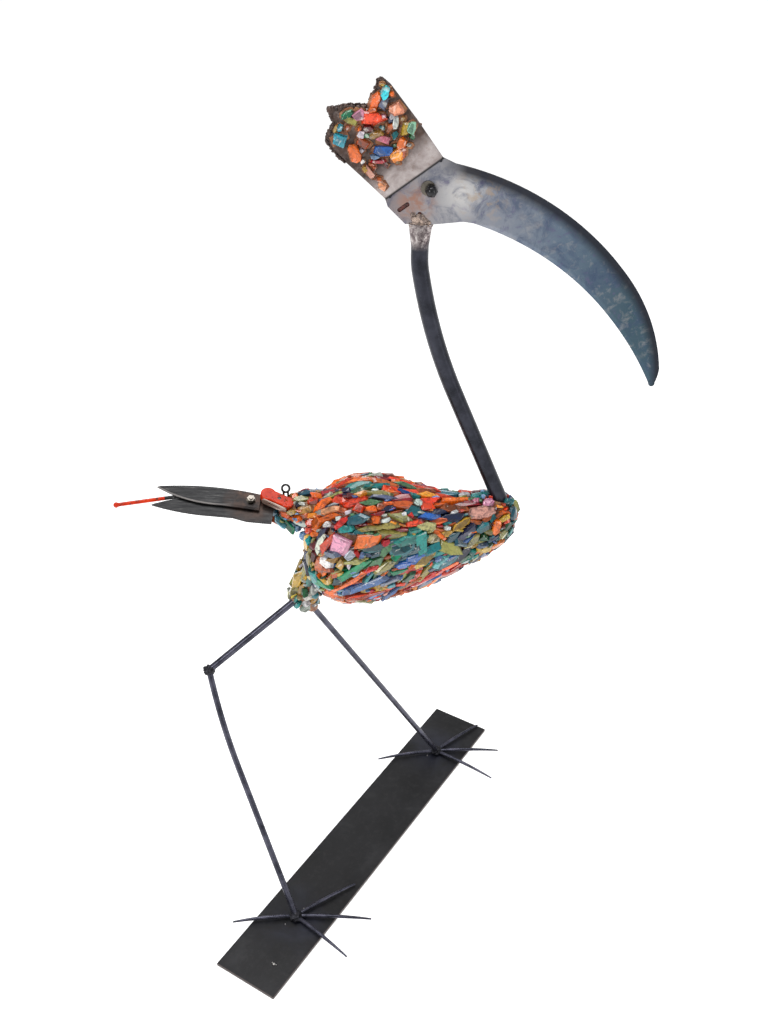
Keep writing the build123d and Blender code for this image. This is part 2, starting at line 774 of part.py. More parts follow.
# Shards round the hip and the tail collar: ring plane, half sizes, and the turns in degrees that they fill.
collar_rings = [
    (Plane(origin=(x, bird_y, z), x_dir=(1, 0, 0), z_dir=(0, 0, 1)), half_x, half_y, 0, 360)
    for z, x, half_x, half_y in ((472, -90.5, 18.5, 17), (488, -85, 18.7, 18), (503, -78, 18, 18))
]
collar_rings += [
    (Plane(origin=(x, bird_y, z), x_dir=(0, 1, 0), z_dir=(1, 0, 0)), half_width, half_height, first, last)
    for x, z, half_height, half_width, first, last in (
        (-112, 613, 15.5, 16.3, 200, 340), (-98, 614, 19.5, 20.5, 170, 370), (-84, 615, 22, 23, 30, 510)
    )
]
collar_length = 12.5
collar_width = 9.5
rod_lines = ((right_knee, thigh_up), (left_hip, left_up))
for ring, half_u, half_v, first, last in collar_rings:
    count = int(radians(min(last - first, 360)) * (half_u + half_v) / 2 / (collar_width + shard_gap))
    for place in range(count):
        turn = radians(first + min(last - first, 360) * (place + 0.5) / count)
        local = Vector(half_u * cos(turn), half_v * sin(turn), 0)
        spot = ring.from_local_coords(local)
        steepest = Vector(cos(turn) / half_u, sin(turn) / half_v, 0)
        outward = (ring.from_local_coords(local + steepest) - spot).normalized()
        buried = body_outside.part.is_inside(spot + outward * glass_thickness)
        by_rod = any((spot - start).cross(run).length < 14 for start, run in rod_lines)
        if buried or by_rod:
            continue
        seat = Plane(origin=spot - outward * glass_embed, x_dir=ring.z_dir, z_dir=outward)
        body_glass[any_colour()].append((seat, shard_outline(collar_length, collar_width)))
for colour, shards in body_glass.items():
    save(glass_group(shards, glass_thickness), "glass_body_" + colour)

crest_glass = {"warm": [], "cool": [], "clear": []}
for side in (1, -1):
    for row in range(5):
        for column in range(4):
            along = -36 + column * 19 + (row % 2) * 5 - row * 1.2
            up = 28 + row * 15
            if abs(along) > 40 or (along > 20 and up < 30):
                continue
            seat = Plane(
                origin=crest_plane.from_local_coords(Vector(along, up, side * (crest_thickness / 2 + bond_gap))),
                x_dir=crest_across, z_dir=crest_plane.z_dir * side,
            )
            outline = shard_outline(15 * random.uniform(0.85, 1), 12 * random.uniform(0.85, 1))
            crest_glass[random.choice(["warm", "warm", "cool", "clear"])].append((seat, outline))
for tone, shards in crest_glass.items():
    save(glass_group(shards, glass_thickness), "glass_crest_" + tone)

# round beads, the same on both sides: under the tail, at the hip and by the neck
bead_spots = ((-86.5, 20.5, 588, 6.8), (-73, 19.5, 488.5, 5.6), (153.5, 6, 645, 3.6))
with BuildPart() as glass_beads:
    for x, out, z, bead_radius in bead_spots:
        for side in (1, -1):
            with Locations(Location((x, bird_y + side * out, z))):
                Sphere(bead_radius)
save(glass_beads, "glass_beads")
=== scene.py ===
import math
import random

import bmesh
import bpy
from mathutils import Euler, Matrix, Vector, noise
from mathutils.bvhtree import BVHTree


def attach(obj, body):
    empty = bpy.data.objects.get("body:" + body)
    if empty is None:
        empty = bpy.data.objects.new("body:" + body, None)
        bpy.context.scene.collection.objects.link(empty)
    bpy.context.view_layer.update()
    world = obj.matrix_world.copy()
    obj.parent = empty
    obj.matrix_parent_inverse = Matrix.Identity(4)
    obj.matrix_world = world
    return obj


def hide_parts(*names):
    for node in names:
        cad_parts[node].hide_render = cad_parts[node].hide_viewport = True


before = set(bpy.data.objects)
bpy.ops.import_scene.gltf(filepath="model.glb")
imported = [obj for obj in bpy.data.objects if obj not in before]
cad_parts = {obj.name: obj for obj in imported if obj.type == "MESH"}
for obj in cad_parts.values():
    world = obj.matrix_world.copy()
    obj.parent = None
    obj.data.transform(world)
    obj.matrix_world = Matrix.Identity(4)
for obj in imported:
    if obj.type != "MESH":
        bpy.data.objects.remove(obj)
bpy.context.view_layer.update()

MM = 0.001
BIRD = "bird"
# the bird's middle plane: its Y in mm and in metres
MIDDLE = 16.5
BIRD_Y = MIDDLE * MM

# the camera's place in metres, its lens in mm, its tilt below level and its roll in degrees
CAMERA_PLACE = (0.0213, -1.2303, 1.4)
CAMERA_LENS = 38.32
CAMERA_DOWN = 32.2
CAMERA_ROLL = 0.8

# places in mm: where each foot is welded (x, y), and the middle of the seam between blade and crest
FEET = {"left": (120, 184.5), "right": (-103, -166)}
SEAM = (49.8, MIDDLE, 1062.5)
# cosine and sine of the seam's rise towards the beak, and the way up the crest, square to the seam
LEAN_COS = 0.808
LEAN_SIN = 0.589
UP_CREST = (-LEAN_SIN, 0, LEAN_COS)
# the shear pivot, and the centre and radius of the arc of the upper blade's cutting edge
TAIL_PIVOT = (-157, MIDDLE, 628.5)
EDGE_CENTRE = (-195.7, 158.5, 675.0)
EDGE_RADIUS = 161.9
# centres of the two arcs that the sickle's spine follows, near the eye and near the tip; the painted shade
# along the spine lies between them
SPINE_NEAR_EYE = (18.6, MIDDLE, 716)
SPINE_NEAR_TIP = (118, MIDDLE, 790.6)
# the rounds of smaller and smaller shards: reach in metres, and how many places are tried
ROUNDS = ((7.5 * MM, 4000), (5.0 * MM, 6000), (3.4 * MM, 7000), (2.2 * MM, 7000))
# where the hip's glass ends, in metres above the floor
LOWEST_SHARD = 0.464
LOWEST_CHIP = 0.470
FLOOR_HALF = 60.0


# ---------------------------------------------------------------- camera, light and floor
def make_camera():
    data = bpy.data.cameras.new("camera")
    data.sensor_fit = "VERTICAL"
    data.sensor_height = 36.0
    data.lens = CAMERA_LENS
    data.clip_end = 120.0
    camera = bpy.data.objects.new("camera", data)
    bpy.context.scene.collection.objects.link(camera)
    camera.location = CAMERA_PLACE
    tilt = Euler((math.radians(90 - CAMERA_DOWN), 0, 0)).to_matrix()
    roll = Euler((0, 0, math.radians(CAMERA_ROLL))).to_matrix()
    camera.rotation_euler = (tilt @ roll).to_euler()
    bpy.context.scene.camera = camera


def make_softbox(name, place, aim, size, power):
    data = bpy.data.lights.new(name, "AREA")
    data.shape = "RECTANGLE"
    data.size, data.size_y = size
    data.energy = power
    light = bpy.data.objects.new(name, data)
    bpy.context.scene.collection.objects.link(light)
    light.location = place
    light.rotation_euler = (Vector(aim) - Vector(place)).to_track_quat("-Z", "Y").to_euler()


def make_studio():
    world = bpy.data.worlds.new("studio")
    world.use_nodes = True
    background = world.node_tree.nodes["Background"]
    background.inputs["Color"].default_value = (1, 1, 1, 1)
    background.inputs["Strength"].default_value = 0.5
    bpy.context.scene.world = world
    bpy.context.scene.view_settings.view_transform = "Standard"
    body = (0.0, 0.0, 0.6)
    make_softbox("overhead", (-0.3, 0.3, 3.4), body, (2.2, 1.6), 60)
    make_softbox("front_left", (-2.0, -2.0, 2.2), body, (0.9, 1.5), 30)
    make_softbox("front_right", (2.4, -1.4, 1.4), body, (0.6, 1.6), 12)


def make_floor():
    mesh = bpy.data.meshes.new("floor")
    corners = [(FLOOR_HALF * x, FLOOR_HALF * y, 0) for x, y in ((-1, -1), (1, -1), (1, 1), (-1, 1))]
    mesh.from_pydata(corners, [], [(0, 1, 2, 3)])
    floor = bpy.data.objects.new("floor", mesh)
    bpy.context.scene.collection.objects.link(floor)
    floor.location.z = -0.0002
    material = bpy.data.materials.new("floor")
    material.use_nodes = True
    shader = material.node_tree.nodes["Principled BSDF"]
    shader.inputs["Base Color"].default_value = (0.95, 0.95, 0.95, 1)
    shader.inputs["Roughness"].default_value = 0.9
    shader.inputs["Emission Color"].default_value = (1, 1, 1, 1)
    shader.inputs["Emission Strength"].default_value = 0.55
    mesh.materials.append(material)


make_camera()
make_studio()
make_floor()


# ---------------------------------------------------------------- material building blocks
class Nodes:
    """Adds and joins the shader nodes of one material."""

    def __init__(self, name):
        self.material = bpy.data.materials.new(name)
        self.material.use_nodes = True
        self.tree = self.material.node_tree
        self.shader = self.tree.nodes["Principled BSDF"]
        self.place = self.tree.nodes.new("ShaderNodeTexCoord").outputs["Object"]

    def set(self, **values):
        for name, value in values.items():
            self.shader.inputs[name.replace("_", " ")].default_value = value

    def link(self, source, target):
        self.tree.links.new(source, self.shader.inputs[target])

    def noise(self, scale, detail=4.0, rough=0.55, stretch=None, distort=0.0):
        node = self.tree.nodes.new("ShaderNodeTexNoise")
        node.inputs["Scale"].default_value = scale
        node.inputs["Detail"].default_value = detail
        node.inputs["Roughness"].default_value = rough
        node.inputs["Distortion"].default_value = distort
        self.tree.links.new(self.stretched(stretch) if stretch else self.place, node.inputs["Vector"])
        return node.outputs["Fac"]

    def stretched(self, scale):
        node = self.tree.nodes.new("ShaderNodeMapping")
        node.inputs["Scale"].default_value = scale
        self.tree.links.new(self.place, node.inputs["Vector"])
        return node.outputs["Vector"]

    def ramp(self, source, stops):
        """stops: (position, value or colour) pairs; returns the colour socket."""
        node = self.tree.nodes.new("ShaderNodeValToRGB")
        ramp = node.color_ramp
        while len(ramp.elements) < len(stops):
            ramp.elements.new(0.5)
        for element, (position, value) in zip(ramp.elements, stops):
            element.position = position
            element.color = (*value, 1) if isinstance(value, tuple) else (value, value, value, 1)
        self.tree.links.new(source, node.inputs["Fac"])
        return node.outputs["Color"]

    def mix(self, share, first, second, kind="MIX"):
        node = self.tree.nodes.new("ShaderNodeMix")
        node.data_type = "RGBA"
        node.blend_type = kind
        sockets = [s for s in node.inputs if s.type == "RGBA"]
        for socket, value in ((node.inputs[0], share), (sockets[0], first), (sockets[1], second)):
            if isinstance(value, bpy.types.NodeSocket):
                self.tree.links.new(value, socket)
            elif isinstance(value, tuple):
                socket.default_value = (*value, 1)
            else:
                socket.default_value = value
        return next(s for s in node.outputs if s.type == "RGBA")

    def times(self, first, second):
        node = self.tree.nodes.new("ShaderNodeMath")
        node.operation = "MULTIPLY"
        for socket, value in zip(node.inputs, (first, second)):
            if isinstance(value, bpy.types.NodeSocket):
                self.tree.links.new(value, socket)
            else:
                socket.default_value = value
        return node.outputs[0]

    def bump(self, height, strength, distance):
        node = self.tree.nodes.new("ShaderNodeBump")
        node.inputs["Strength"].default_value = strength
        node.inputs["Distance"].default_value = distance
        self.tree.links.new(height, node.inputs["Height"])
        self.link(node.outputs["Normal"], "Normal")

    def fade(self, value, start, end, first=0.0, last=1.0):
        """From first to last while a length in metres goes from start to end (mm)."""
        node = self.tree.nodes.new("ShaderNodeMapRange")
        self.tree.links.new(value, node.inputs["Value"])
        node.inputs["From Min"].default_value = start * MM
        node.inputs["From Max"].default_value = end * MM
        node.inputs["To Min"].default_value = first
        node.inputs["To Max"].default_value = last
        return node.outputs["Result"]

    def away(self, place):
        """Distance in metres from a place (mm)."""
        node = self.tree.nodes.new("ShaderNodeVectorMath")
        node.operation = "DISTANCE"
        self.tree.links.new(self.place, node.inputs[0])
        node.inputs[1].default_value = [measure * MM for measure in place]
        return node.outputs["Value"]

    def height(self, origin, direction):
        """Height in metres above origin (mm), measured along a direction."""
        less = self.tree.nodes.new("ShaderNodeVectorMath")
        less.operation = "SUBTRACT"
        self.tree.links.new(self.place, less.inputs[0])
        less.inputs[1].default_value = Vector(origin) * MM
        dot = self.tree.nodes.new("ShaderNodeVectorMath")
        dot.operation = "DOT_PRODUCT"
        self.tree.links.new(less.outputs[0], dot.inputs[0])
        dot.inputs[1].default_value = direction
        return dot.outputs["Value"]

    def axis(self, name):
        node = self.tree.nodes.new("ShaderNodeSeparateXYZ")
        self.tree.links.new(self.place, node.inputs[0])
        return node.outputs[name]


def dark_steel(name, low, high, roughness=(0.35, 0.6), metallic=0.75):
    """Forged or waxed steel: mottled between two colours and finely pitted."""
    n = Nodes(name)
    n.set(Metallic=metallic)
    cloud = n.noise(45, 5, 0.6)
    fine = n.noise(260, 3, 0.7)
    n.link(n.mix(n.ramp(cloud, [(0.3, 0.0), (0.7, 1.0)]), low, high), "Base Color")
    n.link(n.ramp(n.mix(0.5, cloud, fine), [(0.3, roughness[0]), (0.7, roughness[1])]), "Roughness")
    n.bump(n.mix(0.5, n.noise(520, 4, 0.7), fine), 0.25, 0.0003)
    return n.material


def use(material, *names):
    """Gives the named CAD nodes a material, in place of any they had."""
    for name in names:
        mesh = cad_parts[name].data
        mesh.materials.clear()
        mesh.materials.append(material)


steel_rod = dark_steel("waxed_rod_steel", (0.022, 0.023, 0.034), (0.095, 0.095, 0.13), (0.2, 0.36))
inner_steel = dark_steel("inner_steel", (0.2, 0.2, 0.2), (0.3, 0.3, 0.3))
bright_steel = dark_steel("bright_steel", (0.30, 0.28, 0.25), (0.62, 0.60, 0.55), (0.2, 0.4), 1.0)
dull_steel = dark_steel("dull_washer_steel", (0.02, 0.018, 0.016), (0.20, 0.18, 0.15), (0.12, 0.4), 1.0)
worn_steel = dark_steel("pivot_nut_steel", (0.12, 0.10, 0.09), (0.42, 0.39, 0.34), (0.2, 0.4), 0.9)
tan_steel = dark_steel("tan_plate_steel", (0.14, 0.08, 0.06), (0.50, 0.38, 0.32), (0.3, 0.5), 0.3)
toes = [side + "_" + name + "_toe" for side in FEET for name in ("back", "inner", "middle", "outer")]
use(steel_rod, "left_leg_rod", "right_thigh_rod", "right_shank_rod", *toes)
use(inner_steel, "hip_plate", "spine_rod", "tail_rod", "body_shell_near", "body_shell_far")
use(dull_steel, "eye_washer", "tail_pivot_washer", "tail_pivot_spacer")
use(worn_steel, "tail_pivot_bolt", "tail_pivot_nut")
use(tan_steel, "tail_slotted_plate")
use(bright_steel, "eye_rear_nut", "eye_stud")


def neck_material():
    """Blackened tube, its flattened mouth scaled silver and bronze by the braze."""
    n = Nodes("neck_tube_steel")
    cloud = n.noise(45, 5, 0.6)
    scale = n.noise(170, 5, 0.7, distort=0.6)
    colour = n.mix(n.ramp(cloud, [(0.3, 0.0), (0.7, 1.0)]), (0.007, 0.008, 0.012), (0.036, 0.038, 0.052))
    bronze = n.ramp(scale, [(0.36, (0.035, 0.025, 0.03)), (0.5, (0.24, 0.20, 0.20)),
                            (0.66, (0.62, 0.57, 0.55))])
    mouth = n.fade(n.axis("Z"), 980, 992)
    n.link(n.mix(mouth, colour, bronze), "Base Color")
    n.set(Metallic=0.75)
    n.link(n.ramp(n.mix(0.5, cloud, scale), [(0.3, 0.18), (0.7, 0.42)]), "Roughness")
    n.bump(n.mix(0.5, n.noise(520, 4, 0.7), scale), 0.25, 0.0004)
    return n.material


def base_material():
    """Blackened flat bar: faint grey clouds, darker and bluer round the feet (heat tint from the welds, and
    painted shade from the feet), brown cut edges.
    """
    n = Nodes("base_plate_steel")
    cloud = n.noise(14, 6, 0.62, distort=0.5)
    fine = n.noise(130, 5, 0.7)
    colour = n.ramp(cloud, [(0.3, (0.0035, 0.0035, 0.0045)), (0.55, (0.009, 0.009, 0.011)),
                            (0.75, (0.028, 0.028, 0.031))])
    colour = n.mix(n.ramp(fine, [(0.5, 0.0), (0.75, 0.3)]), colour, (0.05, 0.048, 0.05))
    # partly heat tint, partly painted shade: within 75 mm of each foot the bar turns darker and bluer
    blued_and_shaded = n.ramp(cloud, [(0.4, (0.003, 0.003, 0.004)), (0.65, (0.012, 0.014, 0.03))])
    for x, y in FEET.values():
        heat_tint_and_foot_shade = n.fade(n.away((x, y, 5)), 15, 75, 0.9, 0)
        colour = n.mix(heat_tint_and_foot_shade, colour, blued_and_shaded)
    edge = n.fade(n.axis("Z"), 4.5, 4.95, 0.8, 0)
    n.link(n.mix(edge, colour, (0.06, 0.04, 0.035)), "Base Color")
    n.set(Metallic=0.2)
    n.link(n.ramp(n.mix(0.5, cloud, fine), [(0.3, 0.32), (0.7, 0.58)]), "Roughness")
    n.bump(n.mix(0.5, n.noise(420, 4, 0.7), fine), 0.25, 0.0004)
    return n.material


def shear_material(name, honed=0.0):
    """Black forged steel, brushed along the blade, brown round the pivot, bright along the honed edge, partly
    ground steel and partly a painted highlight.
    """
    n = Nodes(name)
    brush = n.noise(330, 4, 0.7, stretch=(0.12, 1, 1))
    cloud = n.noise(60, 4, 0.6)
    colour = n.ramp(brush, [(0.38, (0.007, 0.007, 0.008)), (0.6, (0.03, 0.03, 0.031)),
                            (0.78, (0.13, 0.125, 0.12))])
    near_pivot = n.fade(n.away(TAIL_PIVOT), 15, 40, 0.85, 0)
    brown = n.ramp(cloud, [(0.4, (0.012, 0.008, 0.007)), (0.7, (0.09, 0.05, 0.035))])
    colour = n.mix(near_pivot, colour, brown)
    # partly ground steel, partly a painted highlight: a bright line along the cutting edge, away from the
    # pivot
    edge = n.fade(n.away(EDGE_CENTRE), EDGE_RADIUS - 2.3, EDGE_RADIUS - 1.1)
    honed_edge_highlight = n.fade(n.away(TAIL_PIVOT), 25, 50, 0, honed)
    colour = n.mix(n.times(edge, honed_edge_highlight), colour, (0.3, 0.28, 0.27))
    n.link(colour, "Base Color")
    n.set(Metallic=0.7)
    n.link(n.ramp(n.mix(0.5, brush, cloud), [(0.3, 0.28), (0.7, 0.5)]), "Roughness")
    n.bump(n.mix(0.5, brush, cloud), 0.3, 0.0003)
    return n.material


use(base_material(), "base_plate")
use(neck_material(), "neck_tube")
use(shear_material("honed_highlight_shear_steel", 0.5), "tail_upper_blade")
shear_steel = shear_material("shear_blade_steel")
use(shear_steel, "tail_lower_blade", "tail_wire", "tail_spring_coil", "tail_wire_weld")


def beak_material():
    """Heat-tinted sickle: pale round the eye, partly as a painted highlight, mottled grey and violet, teal at
    the tip, darkened nearly to black along the spine by painted shade, with a painted shadow below the
    crest's seam.
    """
    n = Nodes("heat_tinted_steel")
    cloud = n.noise(30, 6, 0.68, distort=0.9)
    patch = n.noise(95, 5, 0.65, distort=0.5)
    along = n.fade(n.axis("X"), -312.5, 312.5)
    base = n.ramp(along, [(0.5, (0.16, 0.13, 0.14)), (0.6, (0.30, 0.29, 0.30)), (0.72, (0.22, 0.235, 0.275)),
                          (0.86, (0.10, 0.14, 0.19)), (1.0, (0.04, 0.075, 0.10))])
    dark = n.ramp(cloud, [(0.35, 0.75), (0.52, 0.0)])
    colour = n.mix(dark, base, n.mix(0.85, base, (0.035, 0.055, 0.11)))
    colour = n.mix(n.ramp(patch, [(0.52, 0.0), (0.68, 0.32)]), colour, (0.34, 0.32, 0.31))
    colour = n.mix(n.ramp(patch, [(0.3, 0.6), (0.42, 0.0)]), colour, (0.10, 0.09, 0.17))
    rust = n.fade(n.away((52, MIDDLE, 1034)), 8, 30, 0.7, 0)
    rust = n.times(rust, n.ramp(patch, [(0.4, 0.1), (0.6, 1.0)]))
    colour = n.mix(rust, colour, (0.30, 0.12, 0.06))
    # partly pale bare steel, partly a painted highlight: a pale patch near the root, broken up by the cloud
    # noise
    pale = n.fade(n.away((106, MIDDLE, 1046)), 4, 34, 0.9, 0)
    pale = n.times(pale, n.ramp(cloud, [(0.42, 0.0), (0.56, 0.8)]))
    colour = n.mix(pale, colour, (0.62, 0.60, 0.58))
    brown = n.fade(n.away((128, MIDDLE, 1046)), 10, 40, 0.5, 0)
    brown = n.times(brown, n.ramp(patch, [(0.5, 0.0), (0.6, 1.0)]))
    colour = n.mix(brown, colour, (0.34, 0.24, 0.15))
    # painted shade: the band along the sickle's outer edge, its spine, is darkened almost to black
    near_eye = n.fade(n.away(SPINE_NEAR_EYE), 355, 366)
    near_tip = n.fade(n.away(SPINE_NEAR_TIP), 233, 243)
    spine = n.mix(n.fade(n.axis("X"), 300, 312), near_eye, near_tip)
    spine = n.times(spine, n.fade(n.axis("X"), 76, 110))
    colour = n.mix(n.times(spine, 0.93), colour, (0.012, 0.013, 0.02))
    # painted shadow: a dark line on the blade just below the crest's seam
    seam_shadow = n.fade(n.height(SEAM, UP_CREST), -2.4, -0.9, 0, 0.96)
    n.link(n.mix(seam_shadow, colour, (0.008, 0.007, 0.008)), "Base Color")
    n.set(Metallic=0.72)
    scratch = n.noise(300, 3, 0.7, stretch=(0.35, 1, 1))
    n.link(n.ramp(n.mix(0.5, cloud, scratch), [(0.3, 0.24), (0.7, 0.46)]), "Roughness")
    n.bump(n.mix(0.6, n.noise(140, 5, 0.6), scratch), 0.3, 0.0005)
    return n.material


def crest_material():
    """Worn sheet steel: pale and rubbed near the seam, brown-black and rusty above, with a painted shadow
    along the seam.
    """
    n = Nodes("rusty_sheet")
    cloud = n.noise(38, 6, 0.65, distort=0.4)
    fine = n.noise(190, 5, 0.7)
    bare = n.ramp(cloud, [(0.3, (0.16, 0.12, 0.11)), (0.46, (0.33, 0.28, 0.27)), (0.7, (0.52, 0.47, 0.46))])
    dark = n.ramp(cloud, [(0.35, (0.018, 0.012, 0.011)), (0.55, (0.075, 0.045, 0.035)),
                          (0.72, (0.17, 0.12, 0.10))])
    climb = n.height(SEAM, UP_CREST)
    up = n.fade(climb, 18, 36)
    worn = n.times(up, n.ramp(fine, [(0.3, 0.7), (0.5, 1.0)]))
    colour = n.mix(worn, bare, dark)
    colour = n.mix(n.ramp(fine, [(0.55, 0.0), (0.75, 0.5)]), colour, (0.15, 0.07, 0.04))
    # painted shadow: a dark line on the crest just above its seam with the blade
    seam_shadow = n.fade(climb, 0.6, 2.2, 0.96, 0)
    n.link(n.mix(seam_shadow, colour, (0.01, 0.009, 0.01)), "Base Color")
    n.set(Metallic=0.35)
    n.link(n.ramp(cloud, [(0.35, 0.7), (0.65, 0.4)]), "Roughness")
    n.bump(n.mix(0.5, cloud, fine), 0.6, 0.0008)
    return n.material


def weld_material(name, low, high, metallic=0.8):
    """Rough cooled metal or rust, mottled between two colours."""
    n = Nodes(name)
    cloud = n.noise(160, 5, 0.6)
    n.link(n.ramp(cloud, [(0.35, low), (0.65, high)]), "Base Color")
    n.set(Metallic=metallic)
    n.link(n.ramp(cloud, [(0.3, 0.25), (0.7, 0.55)]), "Roughness")
    n.bump(n.noise(420, 4, 0.6), 0.4, 0.0004)
    return n.material


def red_material():
    """Glossy red enamel, chipped to dark steel in small spots."""
    n = Nodes("red_enamel")
    chip = n.ramp(n.noise(150, 4, 0.65), [(0.6, 0.0), (0.64, 1.0)])
    shade = n.ramp(n.noise(60, 3), [(0.3, (0.4, 0.012, 0.0)), (0.7, (0.66, 0.04, 0.0))])
    n.link(n.mix(chip, shade, (0.10, 0.03, 0.02)), "Base Color")
    n.link(n.ramp(chip, [(0.0, 0.3), (1.0, 0.6)]), "Roughness")
    n.set(Coat_Weight=0.05, Coat_Roughness=0.1, Specular_IOR_Level=0.2)
    n.bump(n.noise(240, 3), 0.3, 0.0005)
    return n.material


def black_gloss_material():
    """Smooth black enamel of the dome nut."""
    n = Nodes("dome_nut_black")
    shade = n.ramp(n.noise(150, 3), [(0.3, (0.008, 0.008, 0.009)), (0.7, (0.025, 0.025, 0.028))])
    n.link(shade, "Base Color")
    n.link(n.ramp(n.noise(300, 3), [(0.3, 0.12), (0.7, 0.25)]), "Roughness")
    n.set(Metallic=0.4)
    return n.material


def resin_material():
    """Amber-brown adhesive between the shards, darker in its pits."""
    n = Nodes("amber_resin")
    amber = n.ramp(n.noise(120, 5, 0.6), [(0.3, (0.06, 0.022, 0.01)), (0.55, (0.26, 0.09, 0.03)),
                                          (0.75, (0.40, 0.24, 0.10))])
    n.link(amber, "Base Color")
    n.link(n.ramp(n.noise(300, 4), [(0.3, 0.12), (0.7, 0.4)]), "Roughness")
    n.bump(n.noise(260, 4), 0.8, 0.0015)
    return n.material


def glass_material(name, glint=0.64):
    """Broken coloured glass: each facet's own tint, streaked dark, washed towards white in patches as painted
    glints, under a wet gloss.
    """
    n = Nodes(name)
    tint = n.tree.nodes.new("ShaderNodeAttribute")
    tint.attribute_name = "tint"
    tint = tint.outputs["Color"]
    streak = n.noise(85, 4, 0.7, distort=2.2)
    cloud = n.noise(110, 3, 0.6, distort=0.8)
    deep = n.mix(1.0, tint, (0.16, 0.16, 0.22), "MULTIPLY")
    colour = n.mix(n.ramp(streak, [(0.34, 0.8), (0.54, 0.0)]), tint, deep)
    # painted glints: where the cloud noise passes the glint level, the tint is washed towards white
    bright = n.mix(0.55, tint, (0.95, 0.92, 0.85))
    colour = n.mix(n.ramp(cloud, [(glint, 0.0), (glint + 0.07, 0.7)]), colour, bright)
    n.link(colour, "Base Color")
    n.set(Metallic=0.0, IOR=1.5, Transmission_Weight=0.12, Coat_Weight=0.5, Coat_Roughness=0.02)
    n.link(n.ramp(cloud, [(0.3, 0.06), (0.7, 0.25)]), "Roughness")
    n.bump(n.mix(0.5, streak, n.noise(400, 4, 0.6)), 0.5, 0.0006)
    return n.material


def bead_material():
    """Polished glass beads: marbled blue under the tail, dark teal at the hip."""
    n = Nodes("glass_bead")
    swirl = n.noise(240, 3, 0.6, distort=1.5)
    low = n.fade(n.axis("Z"), 540, 544)
    marble = n.ramp(swirl, [(0.35, (0.03, 0.10, 0.26)), (0.6, (0.22, 0.40, 0.62)),
                            (0.72, (0.75, 0.80, 0.88))])
    n.link(n.mix(low, (0.01, 0.13, 0.15), marble), "Base Color")
    n.link(n.ramp(swirl, [(0.3, 0.04), (0.7, 0.12)]), "Roughness")
    n.set(Coat_Weight=0.5, Coat_Roughness=0.03)
    return n.material


beak_steel = beak_material()
rusty_sheet = crest_material()
dark_weld = weld_material("dark_weld", (0.01, 0.01, 0.013), (0.05, 0.05, 0.06))
bronze_braze = weld_material("bronze_braze", (0.10, 0.075, 0.07), (0.52, 0.40, 0.33), 0.6)
red_enamel = red_material()
amber_resin = resin_material()
use(beak_steel, "sickle_beak")
use(rusty_sheet, "crest_sleeve")
use(dark_weld, "crest_tack_welds")
use(red_enamel, "tail_red_lever", "tail_red_tip")
use(black_gloss_material(), "eye_dome_nut", "tail_lever_rivet")
use(amber_resin, "resin_bed", "resin_hip_collar", "resin_tail_collar")

# ---------------------------------------------------------------- glass shards
# the tints of each colour of glass
GLASS = {
    "orange": {"orange": (0.88, 0.20, 0.02), "tangerine": (0.95, 0.34, 0.04), "rust": (0.52, 0.13, 0.03),
               "peach": (0.80, 0.38, 0.22)},
    "teal": {"teal": (0.005, 0.17, 0.20), "sea": (0.02, 0.30, 0.28), "petrol": (0.01, 0.10, 0.14),
             "aqua": (0.16, 0.48, 0.50), "cyan": (0.05, 0.55, 0.62)},
    "blue": {"blue": (0.03, 0.13, 0.38), "navy": (0.01, 0.02, 0.08), "slate": (0.14, 0.17, 0.27),
             "sky": (0.20, 0.34, 0.55)},
    "green": {"emerald": (0.005, 0.28, 0.14), "moss": (0.12, 0.28, 0.14), "bottle": (0.02, 0.12, 0.05),
              "mint": (0.30, 0.58, 0.42)},
    "amber": {"gold": (0.58, 0.38, 0.06), "olive": (0.36, 0.34, 0.10), "straw": (0.56, 0.50, 0.26),
              "ochre": (0.45, 0.27, 0.08), "yellow": (0.82, 0.58, 0.09)},
    "red": {"red": (0.62, 0.03, 0.02), "crimson": (0.40, 0.02, 0.04), "scarlet": (0.78, 0.09, 0.03),
            "wine": (0.16, 0.02, 0.03)},
    "pink": {"pink": (0.80, 0.36, 0.50), "rose": (0.62, 0.22, 0.32), "salmon": (0.66, 0.36, 0.28)},
    "clear": {"white": (0.86, 0.86, 0.88), "smoke": (0.42, 0.42, 0.42), "frost": (0.62, 0.66, 0.60)},
}
TINTS = {tint: (group, colour) for group, tints in GLASS.items() for tint, colour in tints.items()}
# how often each tint turns up, from the back down, where no shard is listed one by one
ZONE_TINTS = {
    "back": "orange orange tangerine rust rust scarlet scarlet teal sea "
            "slate moss wine olive blue navy crimson frost",
    "tail": "orange rust rust wine wine scarlet sky slate navy "
            "olive ochre crimson frost petrol blue orange smoke",
    "side": "olive olive straw rust rust wine teal petrol petrol "
            "orange navy moss bottle crimson slate sea ochre",
    "chest": "orange tangerine teal sea petrol olive gold bottle "
             "navy blue straw emerald salmon rust moss scarlet",
    "flank": "orange orange blue petrol emerald emerald olive gold "
             "sea sky scarlet rust teal bottle slate red",
    "belly": "orange orange tangerine scarlet scarlet rust red crimson "
             "sky blue teal salmon slate olive wine gold",
    "rump": "yellow olive straw sea petrol navy orange ochre "
            "teal frost white yellow slate gold rust bottle",
}


def any_tint(point):
    """A tint picked at random from those of the part of the body where the point lies."""
    x, z = point.x / MM, point.z / MM
    if x < -60:
        zone = "tail" if z > 585 else "rump"
    elif z > 620 - 0.05 * x:
        zone = "back"
    elif x > 120:
        zone = "chest"
    elif z > 575:
        zone = "side"
    else:
        zone = "flank" if z > 530 + 0.2 * x else "belly"
    return random.choice(ZONE_TINTS[zone].split())
